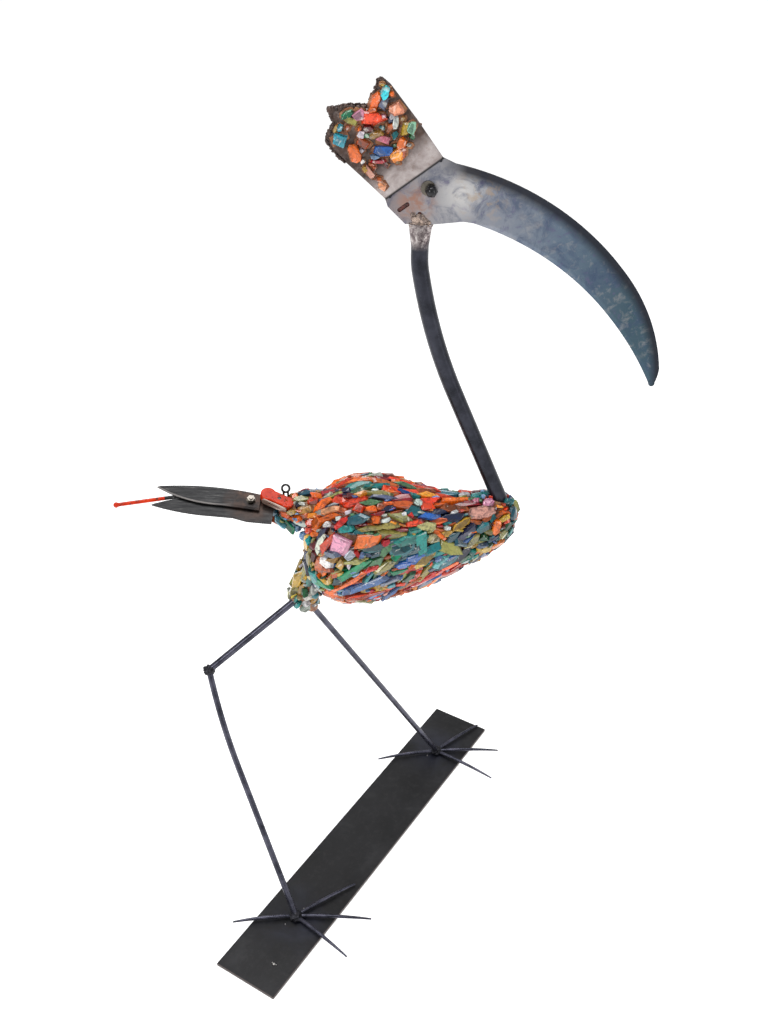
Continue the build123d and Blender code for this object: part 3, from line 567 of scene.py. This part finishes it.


# shards listed one by one on the near side: x, z, length, width in mm, rise towards the beak in degrees, tint
NEAR_SHARDS = [
    # back and shoulder
    (11, 660, 38, 8, 3, "sea"), (-5, 655, 26, 9, 5, "tangerine"), (28, 654, 22, 6, 0, "orange"),
    (18, 652, 40, 6, -3, "slate"), (3, 648, 34, 9, 3, "moss"), (46, 651, 22, 7, -20, "blue"),
    (80, 644, 34, 9, -5, "tangerine"), (116, 638, 38, 8, 0, "orange"), (45, 643, 30, 12, -5, "rust"),
    (66, 642, 13, 9, 0, "frost"), (78, 637, 20, 11, 10, "scarlet"), (115, 632, 38, 9, 8, "rust"),
    (47, 632, 13, 8, 85, "white"), (56, 631, 13, 9, 85, "red"), (79, 628, 30, 10, 0, "blue"),
    (77, 618, 26, 12, 0, "straw"), (112, 625, 32, 11, 15, "navy"), (114, 629, 12, 5, 20, "white"),
    (105, 614, 9, 7, 0, "white"), (125, 618, 28, 10, 38, "gold"), (150, 630, 34, 18, 15, "salmon"),
    (143, 638, 12, 8, 0, "rose"), (160, 638, 16, 10, 20, "pink"), (130, 606, 32, 12, 48, "navy"),
    (153, 613, 22, 14, 20, "teal"), (171, 611, 24, 11, 85, "orange"), (180, 622, 16, 7, 30, "gold"),
    (186, 637, 14, 9, -40, "teal"), (191, 624, 18, 12, 60, "petrol"), (184, 610, 14, 9, 20, "bottle"),
    (188, 600, 14, 8, 50, "sea"), (179, 600, 14, 10, 40, "straw"), (173, 584, 24, 9, 22, "tangerine"),
    # middle of the side
    (-11, 642, 16, 14, 60, "scarlet"), (5, 643, 16, 9, 10, "orange"), (17, 645, 16, 9, 40, "rust"),
    (-36, 644, 24, 9, -5, "scarlet"), (-28, 652, 15, 8, 5, "navy"), (-38, 653, 12, 8, 10, "straw"),
    (-48, 633, 28, 9, 0, "peach"), (-56, 637, 22, 9, 10, "slate"), (-38, 629, 10, 7, 30, "white"),
    (-25, 637, 9, 5, 20, "white"), (-51, 618, 10, 8, 40, "white"), (-34, 625, 24, 9, 40, "red"),
    (-13, 631, 34, 13, 30, "teal"), (-27, 618, 24, 9, 15, "sea"), (5, 623, 34, 8, 12, "olive"),
    (30, 624, 28, 9, 5, "olive"), (11, 632, 12, 11, 0, "orange"), (14, 638, 20, 6, 5, "crimson"),
    (0, 607, 44, 20, 15, "orange"), (23, 604, 14, 9, 30, "crimson"), (24, 595, 26, 12, 60, "moss"),
    (-6, 587, 10, 7, 60, "sky"), (-35, 600, 38, 27, 65, "pink"), (-53, 596, 38, 12, 60, "scarlet"),
    (-58, 606, 26, 8, 60, "navy"), (-54, 570, 22, 13, -15, "white"), (-35, 572, 20, 13, 80, "gold"),
    (-22, 586, 16, 12, 40, "white"), (-14, 588, 12, 6, -60, "red"), (-24, 571, 10, 5, 80, "white"),
    (44, 597, 40, 26, 10, "teal"), (70, 597, 34, 26, 60, "sea"), (57, 586, 44, 20, 20, "petrol"),
    (40, 588, 26, 16, 55, "emerald"), (58, 604, 46, 14, 4, "sea"), (62, 578, 34, 15, 12, "blue"),
    (84, 588, 30, 15, 25, "teal"), (95, 606, 20, 7, -50, "orange"), (110, 586, 40, 18, -20, "olive"),
    (139, 594, 28, 9, 48, "straw"),
    (139, 573, 16, 10, 55, "sea"), (152, 586, 16, 8, 20, "slate"), (156, 568, 14, 6, 30, "blue"),
    # flank and belly
    (-18, 563, 60, 12, 40, "emerald"), (-23, 543, 60, 10, 40, "orange"), (5, 567, 22, 8, 20, "red"),
    (21, 568, 34, 14, 35, "olive"), (0, 539, 70, 14, 25, "blue"), (30, 545, 30, 10, 22, "slate"),
    (3, 519, 60, 8, 8, "scarlet"), (-12, 509, 34, 8, 8, "orange"), (37, 510, 36, 8, 12, "orange"),
    (45, 535, 20, 8, 25, "scarlet"), (31, 535, 14, 8, 10, "aqua"), (49, 571, 26, 9, 10, "blue"),
    (43, 561, 28, 8, 10, "emerald"), (75, 574, 38, 14, 40, "gold"), (99, 566, 30, 12, 30, "aqua"),
    (108, 571, 26, 9, 30, "blue"), (74, 536, 46, 11, 28, "red"), (111, 557, 30, 8, 25, "orange"),
    # rump
    (-69, 530, 42, 14, -82, "sea"), (-79, 545, 24, 10, -70, "navy"), (-51, 537, 30, 12, 85, "gold"),
    (-48, 514, 26, 14, 20, "orange"), (-66, 613, 18, 14, 50, "orange"), (-74, 623, 20, 6, -5, "tangerine"),
    (-76, 591, 14, 8, -70, "sea"), (-76, 566, 30, 8, 85, "olive"), (-70, 573, 20, 7, 80, "wine"),
]

# shards standing out from the resin, at the rump and under the tail: x, y, z and as above
RUMP_SHARDS = [
    (-97, 6, 508, 50, 17, 62, "yellow"), (-88, 3, 524, 38, 12, 68, "straw"),
    (-103, 7, 490, 26, 13, 48, "olive"), (-91, 4, 496, 34, 10, 60, "ochre"),
    (-82, 0, 486, 24, 14, 30, "frost"), (-86, 2, 473, 20, 13, -20, "white"),
    (-74, 1, 498, 22, 14, 75, "frost"), (-78, -1, 515, 30, 12, 80, "sea"),
    (-108, 2, 604, 44, 15, -38, "emerald"), (-116, 0, 608, 26, 5, -38, "aqua"),
    (-96, -3, 616, 24, 12, 10, "orange"), (-84, -6, 622, 20, 10, 30, "rust"),
    (-94, -1, 600, 16, 12, 60, "sky"), (-110, 0, 620, 20, 9, -10, "rust"),
    (-101, -2, 625, 18, 9, 20, "ochre"),
]


class ShardPile:
    """Gathers separate shards into one mesh, with each shard's colour in the attribute "tint"."""

    def __init__(self):
        self.points = []
        self.faces = []
        self.colours = []

    def add(self, shape, place, colour):
        start = len(self.points)
        self.points.extend(place @ v.co for v in shape.verts)
        shape.verts.index_update()
        for face in shape.faces:
            # painted light and shade: each facet is made lighter or darker at random, as if it caught the
            # light
            shade = random.choice((0.45, 0.7, 0.9, 1.0, 1.1, 1.3))
            self.faces.append([start + v.index for v in face.verts])
            self.colours.append(tuple(min(c * shade, 1) for c in colour))
        shape.free()

    def finish(self, name, material, slot, *nodes):
        mesh = bpy.data.meshes.new(name)
        mesh.from_pydata([tuple(p) for p in self.points], [], self.faces)
        layer = mesh.attributes.new("tint", "FLOAT_COLOR", "CORNER")
        for polygon, colour in zip(mesh.polygons, self.colours):
            for corner in polygon.loop_indices:
                layer.data[corner].color = (*colour, 1)
        mesh.materials.append(material)
        add_piece(name, mesh, slot, *nodes)


def add_piece(name, mesh, slot, *nodes):
    """A new visible piece on the bird, in place of the named CAD nodes."""
    piece = bpy.data.objects.new(name, mesh)
    bpy.context.scene.collection.objects.link(piece)
    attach(piece, BIRD)
    if nodes:
        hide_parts(*nodes)


def broken_glass(length, width, thick, sharp=0.75):
    """A chipped slab of glass with its back at the origin: a convex lump with its edges broken off."""
    shape = bmesh.new()
    corners = random.randint(4, 7)
    phase = random.uniform(0, math.tau)
    slope = random.uniform(-0.25, 0.25)
    for i in range(corners):
        angle = phase + math.tau * (i + random.uniform(-0.3, 0.3)) / corners
        reach = random.uniform(0.8, 1.0)
        x = length / 2 * reach * math.copysign(abs(math.cos(angle)) ** sharp, math.cos(angle))
        y = width / 2 * reach * math.copysign(abs(math.sin(angle)) ** sharp, math.sin(angle))
        top = thick * (random.uniform(0.8, 1.1) + slope * math.cos(angle))
        shrink = random.uniform(0.6, 0.92)
        shape.verts.new((x, y, -0.1 * thick))
        shape.verts.new((
            x * random.uniform(0.95, 1),
            y * random.uniform(0.95, 1),
            top * random.uniform(0.4, 0.7),
        ))
        shape.verts.new((x * shrink, y * shrink, top))
    made = bmesh.ops.convex_hull(shape, input=shape.verts)
    spare = {v for v in made["geom_interior"] + made["geom_unused"] if isinstance(v, bmesh.types.BMVert)}
    bmesh.ops.delete(shape, geom=list(spare), context="VERTS")
    bmesh.ops.dissolve_limit(shape, angle_limit=math.radians(12), verts=shape.verts, edges=shape.edges)
    chipped = min(width, thick) * 0.03
    bmesh.ops.bevel(shape, geom=list(shape.edges), offset=chipped, segments=1, affect="EDGES")
    return shape


def node_tree(*names):
    """One tree of the named CAD nodes, for finding what is near or in the way."""
    points = []
    faces = []
    for name in names:
        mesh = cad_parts[name].data
        start = len(points)
        points.extend(v.co.copy() for v in mesh.vertices)
        faces.extend([start + i for i in p.vertices] for p in mesh.polygons)
    return BVHTree.FromPolygons(points, faces)


RESIN = ("resin_bed", "resin_hip_collar", "resin_tail_collar")
resin_tree = node_tree(*RESIN)
steel_tree = node_tree(
    "neck_tube", "right_thigh_rod", "left_leg_rod", "tail_red_lever", "tail_slotted_plate",
    "tail_upper_blade", "tail_lower_blade", "tail_spring_coil", "tail_pivot_nut",
)
shell_tree = node_tree("body_shell_near", "body_shell_far")


def outer_faces():
    """The faces on the outside of the resin, each with its mesh: not on the sheet, nothing close above."""
    found = []
    for name in RESIN:
        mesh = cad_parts[name].data
        for polygon in mesh.polygons:
            middle = polygon.center
            normal = polygon.normal
            if shell_tree.find_nearest(middle)[3] < 1.2 * MM:
                continue
            if resin_tree.ray_cast(middle + normal * 0.3 * MM, normal, 7 * MM)[0]:
                continue
            found.append((mesh, polygon))
    return found


def random_spots(faces, count):
    """Random places on the faces, spread by area: point and outward normal."""
    weights = [polygon.area for _, polygon in faces]
    found = []
    for mesh, polygon in random.choices(faces, weights, k=count):
        a, b, c = (mesh.vertices[i].co for i in polygon.vertices[:3])
        u, v = sorted((random.random(), random.random()))
        found.append((a * u + b * (v - u) + c * (1 - v), polygon.normal.copy()))
    return found


def flow(point):
    """The lie of the shards: level along the back, rising under the flank, upright at rump and chest."""
    x, z = point.x / MM, point.z / MM
    if z < 520 and x < -50:
        return math.radians(random.gauss(60, 25))
    if x < -60 and z < 600:
        return math.radians(random.gauss(80, 22))
    if x > 165:
        return math.radians(random.gauss(50, 35))
    level = min(max((610 - z) / 50, 0), 1)
    return math.radians(random.gauss(3 + 28 * level, 12 + 8 * level))


def lay(point, normal, rise, tilt, lift):
    """Where a shard lies: its length along the rise, its back on the surface, tilted a little."""
    side = -1 if normal.y < 0 else 1
    long_way = Vector((math.cos(rise), 0.25 * side * random.uniform(-1, 1), math.sin(rise)))
    long_way = (long_way - normal * long_way.dot(normal)).normalized()
    wide_way = normal.cross(long_way)
    turn = Matrix((long_way, wide_way, normal)).transposed()
    wobble = Euler((random.gauss(0, tilt), random.gauss(0, tilt * 0.4), 0)).to_matrix()
    return Matrix.Translation(point + normal * lift) @ (turn @ wobble).to_4x4()


class Mosaic:
    """Shards sorted into piles by glass colour, which remembers where each one lies."""

    def __init__(self):
        self.piles = {group: ShardPile() for group in GLASS}
        self.cells = {}

    def cell(self, point):
        return tuple(int(c // (20 * MM)) for c in point)

    def put(self, point, normal, rise, length, width, thick, tint, tilt, lift=0.0):
        group, colour = TINTS[tint]
        shade = random.uniform(0.8, 1.2)
        colour = tuple(min(c ** 1.2 * shade * random.uniform(0.9, 1.1), 1) for c in colour)
        place = lay(point, normal, rise, tilt, lift)
        self.piles[group].add(broken_glass(length, width, thick), place, colour)
        entry = (point, place.to_3x3().col[0].normalized(), normal, length, width)
        self.cells.setdefault(self.cell(point), []).append(entry)

    def has_room(self, point, reach):
        here = self.cell(point)
        for dx in (-2, -1, 0, 1, 2):
            for dy in (-2, -1, 0, 1, 2):
                for dz in (-2, -1, 0, 1, 2):
                    for entry in self.cells.get((here[0] + dx, here[1] + dy, here[2] + dz), ()):
                        if self.covers(entry, point, reach):
                            return False
        return True

    def covers(self, entry, point, reach):
        other, long_way, normal, length, width = entry
        step = point - other
        along = step.dot(long_way) / (length * 0.4 + reach * 0.8)
        across = step.dot(normal.cross(long_way)) / (width * 0.4 + reach * 0.2)
        return along * along + across * across < 1 and abs(step.dot(normal)) < 12 * MM


def lay_body(mosaic):
    """Glass all over the resin: first the listed shards, then others wherever there is room."""
    for x, z, length, width, rise, tint in NEAR_SHARDS:
        start = Vector((x * MM, -0.3, z * MM))
        point, normal, _, _ = resin_tree.ray_cast(start, Vector((0, 1, 0)))
        if point:
            mosaic.put(point, normal, math.radians(rise), length * 1.25 * MM, width * 1.3 * MM, 6.8 * MM,
                       tint, 0.16, 0.6 * MM)
    for x, y, z, length, width, rise, tint in RUMP_SHARDS:
        for side in (-1, 1):
            point = Vector((x * MM, BIRD_Y + side * (BIRD_Y - y * MM), z * MM))
            normal = Vector((-0.45, side * 0.89, 0)).normalized()
            mosaic.put(point, normal, math.radians(rise), length * MM, width * MM, 6.5 * MM, tint, 0.15)
    faces = outer_faces()
    for reach, count in ROUNDS:
        for point, normal in random_spots(faces, count):
            if point.z < LOWEST_SHARD or steel_tree.find_nearest(point)[3] < reach * 0.9:
                continue
            if not mosaic.has_room(point, reach):
                continue
            bent = point.x > 0.15 or point.x < -0.065
            length = reach * random.uniform(4.4, 7.2) * (0.62 if bent else 1)
            width = reach * random.uniform(1.5, 2.3)
            thick = random.uniform(4.0, 7.0) * MM
            mosaic.put(point, normal, flow(point), length, width, thick, any_tint(point), 0.28)
    for point, normal in random_spots(faces, 300):
        if point.z < LOWEST_CHIP or steel_tree.find_nearest(point)[3] < 8 * MM:
            continue
        length = random.uniform(8, 17) * MM
        width = length * random.uniform(0.28, 0.45)
        mosaic.put(point, normal, flow(point), length, width, 2.8 * MM, any_tint(point), 0.3, 4.0 * MM)


# ---------------------------------------------------------------- glass on the crest
# x, z, length, width in mm, rise in degrees, tint; the far side has the same lie, the tints shuffled
CREST_SHARDS = [
    (2, 1128, 28, 13, -4, "scarlet"), (-12, 1132, 16, 11, 10, "pink"), (-8, 1135, 9, 5, 20, "white"),
    (14, 1131, 7, 4, 10, "pink"), (6, 1147, 18, 9, 68, "orange"), (16, 1156, 13, 8, 55, "cyan"),
    (15, 1145, 18, 8, 68, "slate"), (29, 1138, 15, 13, 30, "peach"), (28, 1125, 15, 6, 85, "white"),
    (22, 1128, 6, 5, 0, "navy"), (38, 1118, 13, 8, 80, "gold"), (46, 1119, 12, 9, 75, "mint"),
    (46, 1111, 8, 6, 60, "bottle"), (28, 1111, 9, 7, 60, "teal"), (35, 1102, 14, 9, 70, "orange"),
    (30, 1089, 14, 12, 20, "tangerine"), (15, 1094, 20, 10, -3, "blue"), (14, 1106, 16, 9, 0, "rose"),
    (6, 1112, 16, 7, 10, "ochre"), (-10, 1111, 9, 8, 0, "white"), (-4, 1110, 6, 5, 0, "emerald"),
    (-25, 1132, 14, 7, 30, "emerald"), (-21, 1125, 16, 7, -20, "olive"), (-33, 1106, 17, 14, -30, "cyan"),
    (-33, 1118, 8, 6, 60, "cyan"), (-37, 1116, 8, 5, 60, "gold"), (-17, 1090, 18, 11, -70, "orange"),
    (-8, 1082, 6, 4, 50, "white"), (0, 1071, 15, 8, -55, "salmon"), (-5, 1073, 8, 5, -55, "gold"),
    (15, 1055, 10, 8, -40, "peach"), (10, 1083, 16, 4, 0, "crimson"), (6, 1088, 10, 5, 0, "sky"),
    (-2, 1118, 10, 7, 0, "wine"), (-8, 1102, 16, 9, -20, "rust"), (22, 1119, 12, 7, 80, "rust"),
    (3, 1138, 9, 6, 30, "orange"), (13, 1163, 6, 4, 0, "gold"), (24, 1132, 7, 5, 60, "smoke"),
    (38, 1093, 12, 5, 80, "rust"),
]
# the tints of the small chips between them
CREST_CHIPS = ["rust", "wine", "ochre", "rust", "orange", "bottle", "smoke", "teal", "salmon"]


def lay_crest(mosaic, resin):
    """Glass on both faces of the crest, each shard in its own puddle of resin, with chips between."""
    crest = node_tree("crest_sleeve")
    for side in (-1, 1):
        inward = Vector((0, -side, 0))
        tints = [row[5] for row in CREST_SHARDS]
        if side > 0:
            random.shuffle(tints)
        for (x, z, length, width, rise, _), tint in zip(CREST_SHARDS, tints):
            start = Vector((x * MM, BIRD_Y + side * 0.1, z * MM))
            point, normal, _, _ = crest.ray_cast(start, inward)
            if not point or normal.y * side < 0.5:
                continue
            mosaic.put(point, normal, math.radians(rise), length * 1.35 * MM, width * 1.35 * MM, 6.2 * MM,
                       tint, 0.16, 0.7 * MM)
            seat = lay(point, normal, math.radians(rise), 0.02, -0.2 * MM)
            shape = broken_glass(length * 1.6 * MM, (width * 1.5 + 4) * MM, 1.7 * MM, 0.9)
            resin.add(shape, seat, (0.3, 0.13, 0.05))
        for x, z, *_ in CREST_SHARDS * 4:
            beside = (x + random.uniform(-8, 8)) * MM
            above = (z + random.uniform(-8, 8)) * MM
            start = Vector((beside, BIRD_Y + side * 0.1, above))
            point, normal, _, _ = crest.ray_cast(start, inward)
            if not point or normal.y * side < 0.5 or not mosaic.has_room(point, 4.5 * MM):
                continue
            around = [start + Vector(step) * MM for step in ((-6, 0, 0), (6, 0, 0), (0, 0, -6), (0, 0, 6))]
            if not all(crest.ray_cast(spot, inward)[0] for spot in around):
                continue
            rise = random.uniform(-1.2, 1.2)
            seat = lay(point, normal, rise, 0.02, -0.2 * MM)
            resin.add(broken_glass(14 * MM, 11 * MM, 1.9 * MM, 0.9), seat, (0.26, 0.1, 0.035))
            mosaic.put(point, normal, rise, random.uniform(7, 11) * MM, random.uniform(5, 7) * MM, 4.2 * MM,
                       random.choice(CREST_CHIPS), 0.2, 0.6 * MM)


# ---------------------------------------------------------------- welds, braze and rust
def lump(spots, rough, material, fineness=4):
    """Clots of cooled metal or rust: noisy blobs at spots of (x, y, z, half sizes) in mm."""
    shape = bmesh.new()
    for x, y, z, half_x, half_y, half_z in spots:
        made = bmesh.ops.create_icosphere(shape, subdivisions=fineness, radius=1)
        for vertex in made["verts"]:
            swell = 1 + rough * noise.fractal(vertex.co * 1.7 + Vector((x, y, z)), 0.6, 2.2, 4)
            vertex.co = Vector((x + half_x * vertex.co.x * swell, y + half_y * vertex.co.y * swell,
                                z + half_z * vertex.co.z * swell)) * MM
    mesh = bpy.data.meshes.new("lump")
    shape.to_mesh(mesh)
    shape.free()
    for polygon in mesh.polygons:
        polygon.use_smooth = True
    mesh.materials.append(material)
    return mesh


def clots(x, y, z, reach, height, count):
    """A weld's heap: one clot in the middle and smaller ones round it."""
    spots = [(x, y, z, reach * 0.72, reach * 0.72, height)]
    for i in range(count):
        angle = math.tau * (i + random.uniform(-0.3, 0.3)) / count
        out = reach * random.uniform(0.55, 0.8)
        size = reach * random.uniform(0.25, 0.4)
        low = z - height * random.uniform(0.1, 0.5)
        thick = height * random.uniform(0.4, 0.6)
        spots.append((x + out * math.cos(angle), y + out * math.sin(angle), low, size, size, thick))
    return spots


def crest_point(along, up, out):
    """A place on the crest (mm): along the seam, up from it, and out from the middle plane."""
    x = SEAM[0] + along * LEAN_COS - up * LEAN_SIN
    z = SEAM[2] + along * LEAN_SIN + up * LEAN_COS
    return x, SEAM[1] + out, z


def torn_rim(path, out):
    """Burnt and beaded metal along a torn edge of the crest."""
    spots = []
    for (x0, z0), (x1, z1) in zip(path, path[1:]):
        steps = max(2, int(math.dist((x0, z0), (x1, z1)) / 1.5))
        for i in range(steps):
            share = i / steps
            place = crest_point(x0 + (x1 - x0) * share + random.uniform(-0.8, 0.4),
                                z0 + (z1 - z0) * share + random.uniform(-1.2, 0.4), out)
            size = random.choice((1.3, 1.5, 1.8, 2.4))
            spots.append((*place, size, size * 0.8, size))
    return spots


# the crest's torn edge in its own frame, from the front corner over the crown and down the back
NEAR_EDGE = [
    (34, 97), (33, 108), (28, 110), (18, 101), (4, 93), (-12, 105), (-34, 117), (-37, 101), (-55, 93),
    (-56, 78), (-52, 58),
]
FAR_EDGE = [(33, 100), (32, 108), (18, 101), (4, 94), (-12, 106), (-34, 117), (-37, 101), (-55, 93)]
# clots of metal: place and half sizes in mm
KNEE_CLOTS = [
    (-227, -26, 369, 7.6, 7.6, 7.4), (-224, -30, 372, 4.2, 4.2, 4), (-230, -25, 364, 4.4, 4.2, 4.4),
    (-223, -23, 366, 4, 4, 4), (-231, -28, 372, 3.4, 3.4, 3.4),
]
SPATTER = [
    (-128.6, -245.9, 5.2, 2.0, 2.0, 0.9), (-125.5, -247, 5.1, 0.8, 0.8, 0.5),
    (-131, -243.5, 5.1, 1, 1, 0.5), (-92, -150, 5.1, 1.1, 1.1, 0.6),
    (-118, -178, 5.1, 0.9, 0.9, 0.5), (104, 176, 5.1, 1, 1, 0.6),
]
# the tube's flattened mouth closed under the blade, with runs of braze up both faces
BRAZE_CLOTS = [
    (59, 16.5, 1009.5, 13.2, 5.6, 3.4), (53, 14.4, 1015, 4.8, 1.8, 4.5),
    (58.5, 14.2, 1018.5, 5.2, 1.7, 3.6), (62, 14.4, 1014, 5, 1.7, 4.2),
    (50, 14.6, 1021, 3, 1.2, 2.6), (53, 18.8, 1015, 5, 1.9, 4.5),
    (60, 18.8, 1016, 6.4, 1.9, 4.2), (67, 14.8, 1011.5, 4.6, 1.8, 2.8),
    (66, 18.4, 1011.5, 5, 1.8, 3.2),
]


def add_metal():
    """The crest's burnt rim, weld beads at knee and ankles, spatter, braze, and rust in the blade's holes."""
    rim = torn_rim(NEAR_EDGE, -3.6) + torn_rim(FAR_EDGE, 3.6)
    burnt_rim = weld_material("burnt_rim", (0.012, 0.008, 0.008), (0.12, 0.075, 0.06), 0.4)
    add_piece("crest_rim", lump(rim, 0.6, burnt_rim, 2), "rusty_sheet")
    add_piece("knee_weld_bead", lump(KNEE_CLOTS, 0.4, dark_weld), "weld_metal", "right_knee_weld")
    for side, (x, y) in FEET.items():
        heap = lump(clots(x, y, 11.5, 10.5, 5.2, 8), 0.4, dark_weld)
        add_piece(side + "_ankle_bead", heap, "weld_metal", side + "_ankle_weld")
    pale_spatter = weld_material("weld_spatter", (0.25, 0.24, 0.23), (0.7, 0.68, 0.66), 0.8)
    add_piece("base_spatter", lump(SPATTER, 0.4, pale_spatter, 2), "weld_metal")
    add_piece("braze_runs", lump(BRAZE_CLOTS, 0.35, bronze_braze), "braze", "neck_braze")
    plugs = []
    for step in (-5.4, -2.6, 0.2, 3.0, 5.6):
        plugs.append((38.7 + step * LEAN_COS, 16.8, 1029.5 + step * LEAN_SIN, 3.4, 1.0, 2.3))
    plugs.append((57.5, 16.6, 1022.5, 3.6, 1.1, 3.4))
    old_rust = weld_material("old_rust", (0.012, 0.006, 0.005), (0.13, 0.03, 0.02), 0.1)
    add_piece("slot_rust", lump(plugs, 0.3, old_rust), "rusty_sheet")


def add_glass():
    """The mosaic on the body, and the glass and its resin on the crest."""
    body_glass = Mosaic()
    lay_body(body_glass)
    for group, pile in body_glass.piles.items():
        material = glass_material("glass_" + group)
        pile.finish("glass_" + group, material, "glass_" + group, "glass_body_" + group)
    crest_glass = Mosaic()
    crest_resin = ShardPile()
    lay_crest(crest_glass, crest_resin)
    crest_nodes = {"orange": "glass_crest_warm", "teal": "glass_crest_cool", "clear": "glass_crest_clear"}
    for group, pile in crest_glass.piles.items():
        nodes = [crest_nodes[group]] if group in crest_nodes else []
        pile.finish("crest_" + group, glass_material("crest_" + group, 0.57), "glass_" + group, *nodes)
    crest_resin.finish("crest_resin", amber_resin, "resin")
    use(bead_material(), "glass_beads")


random.seed(11)
add_metal()
add_glass()
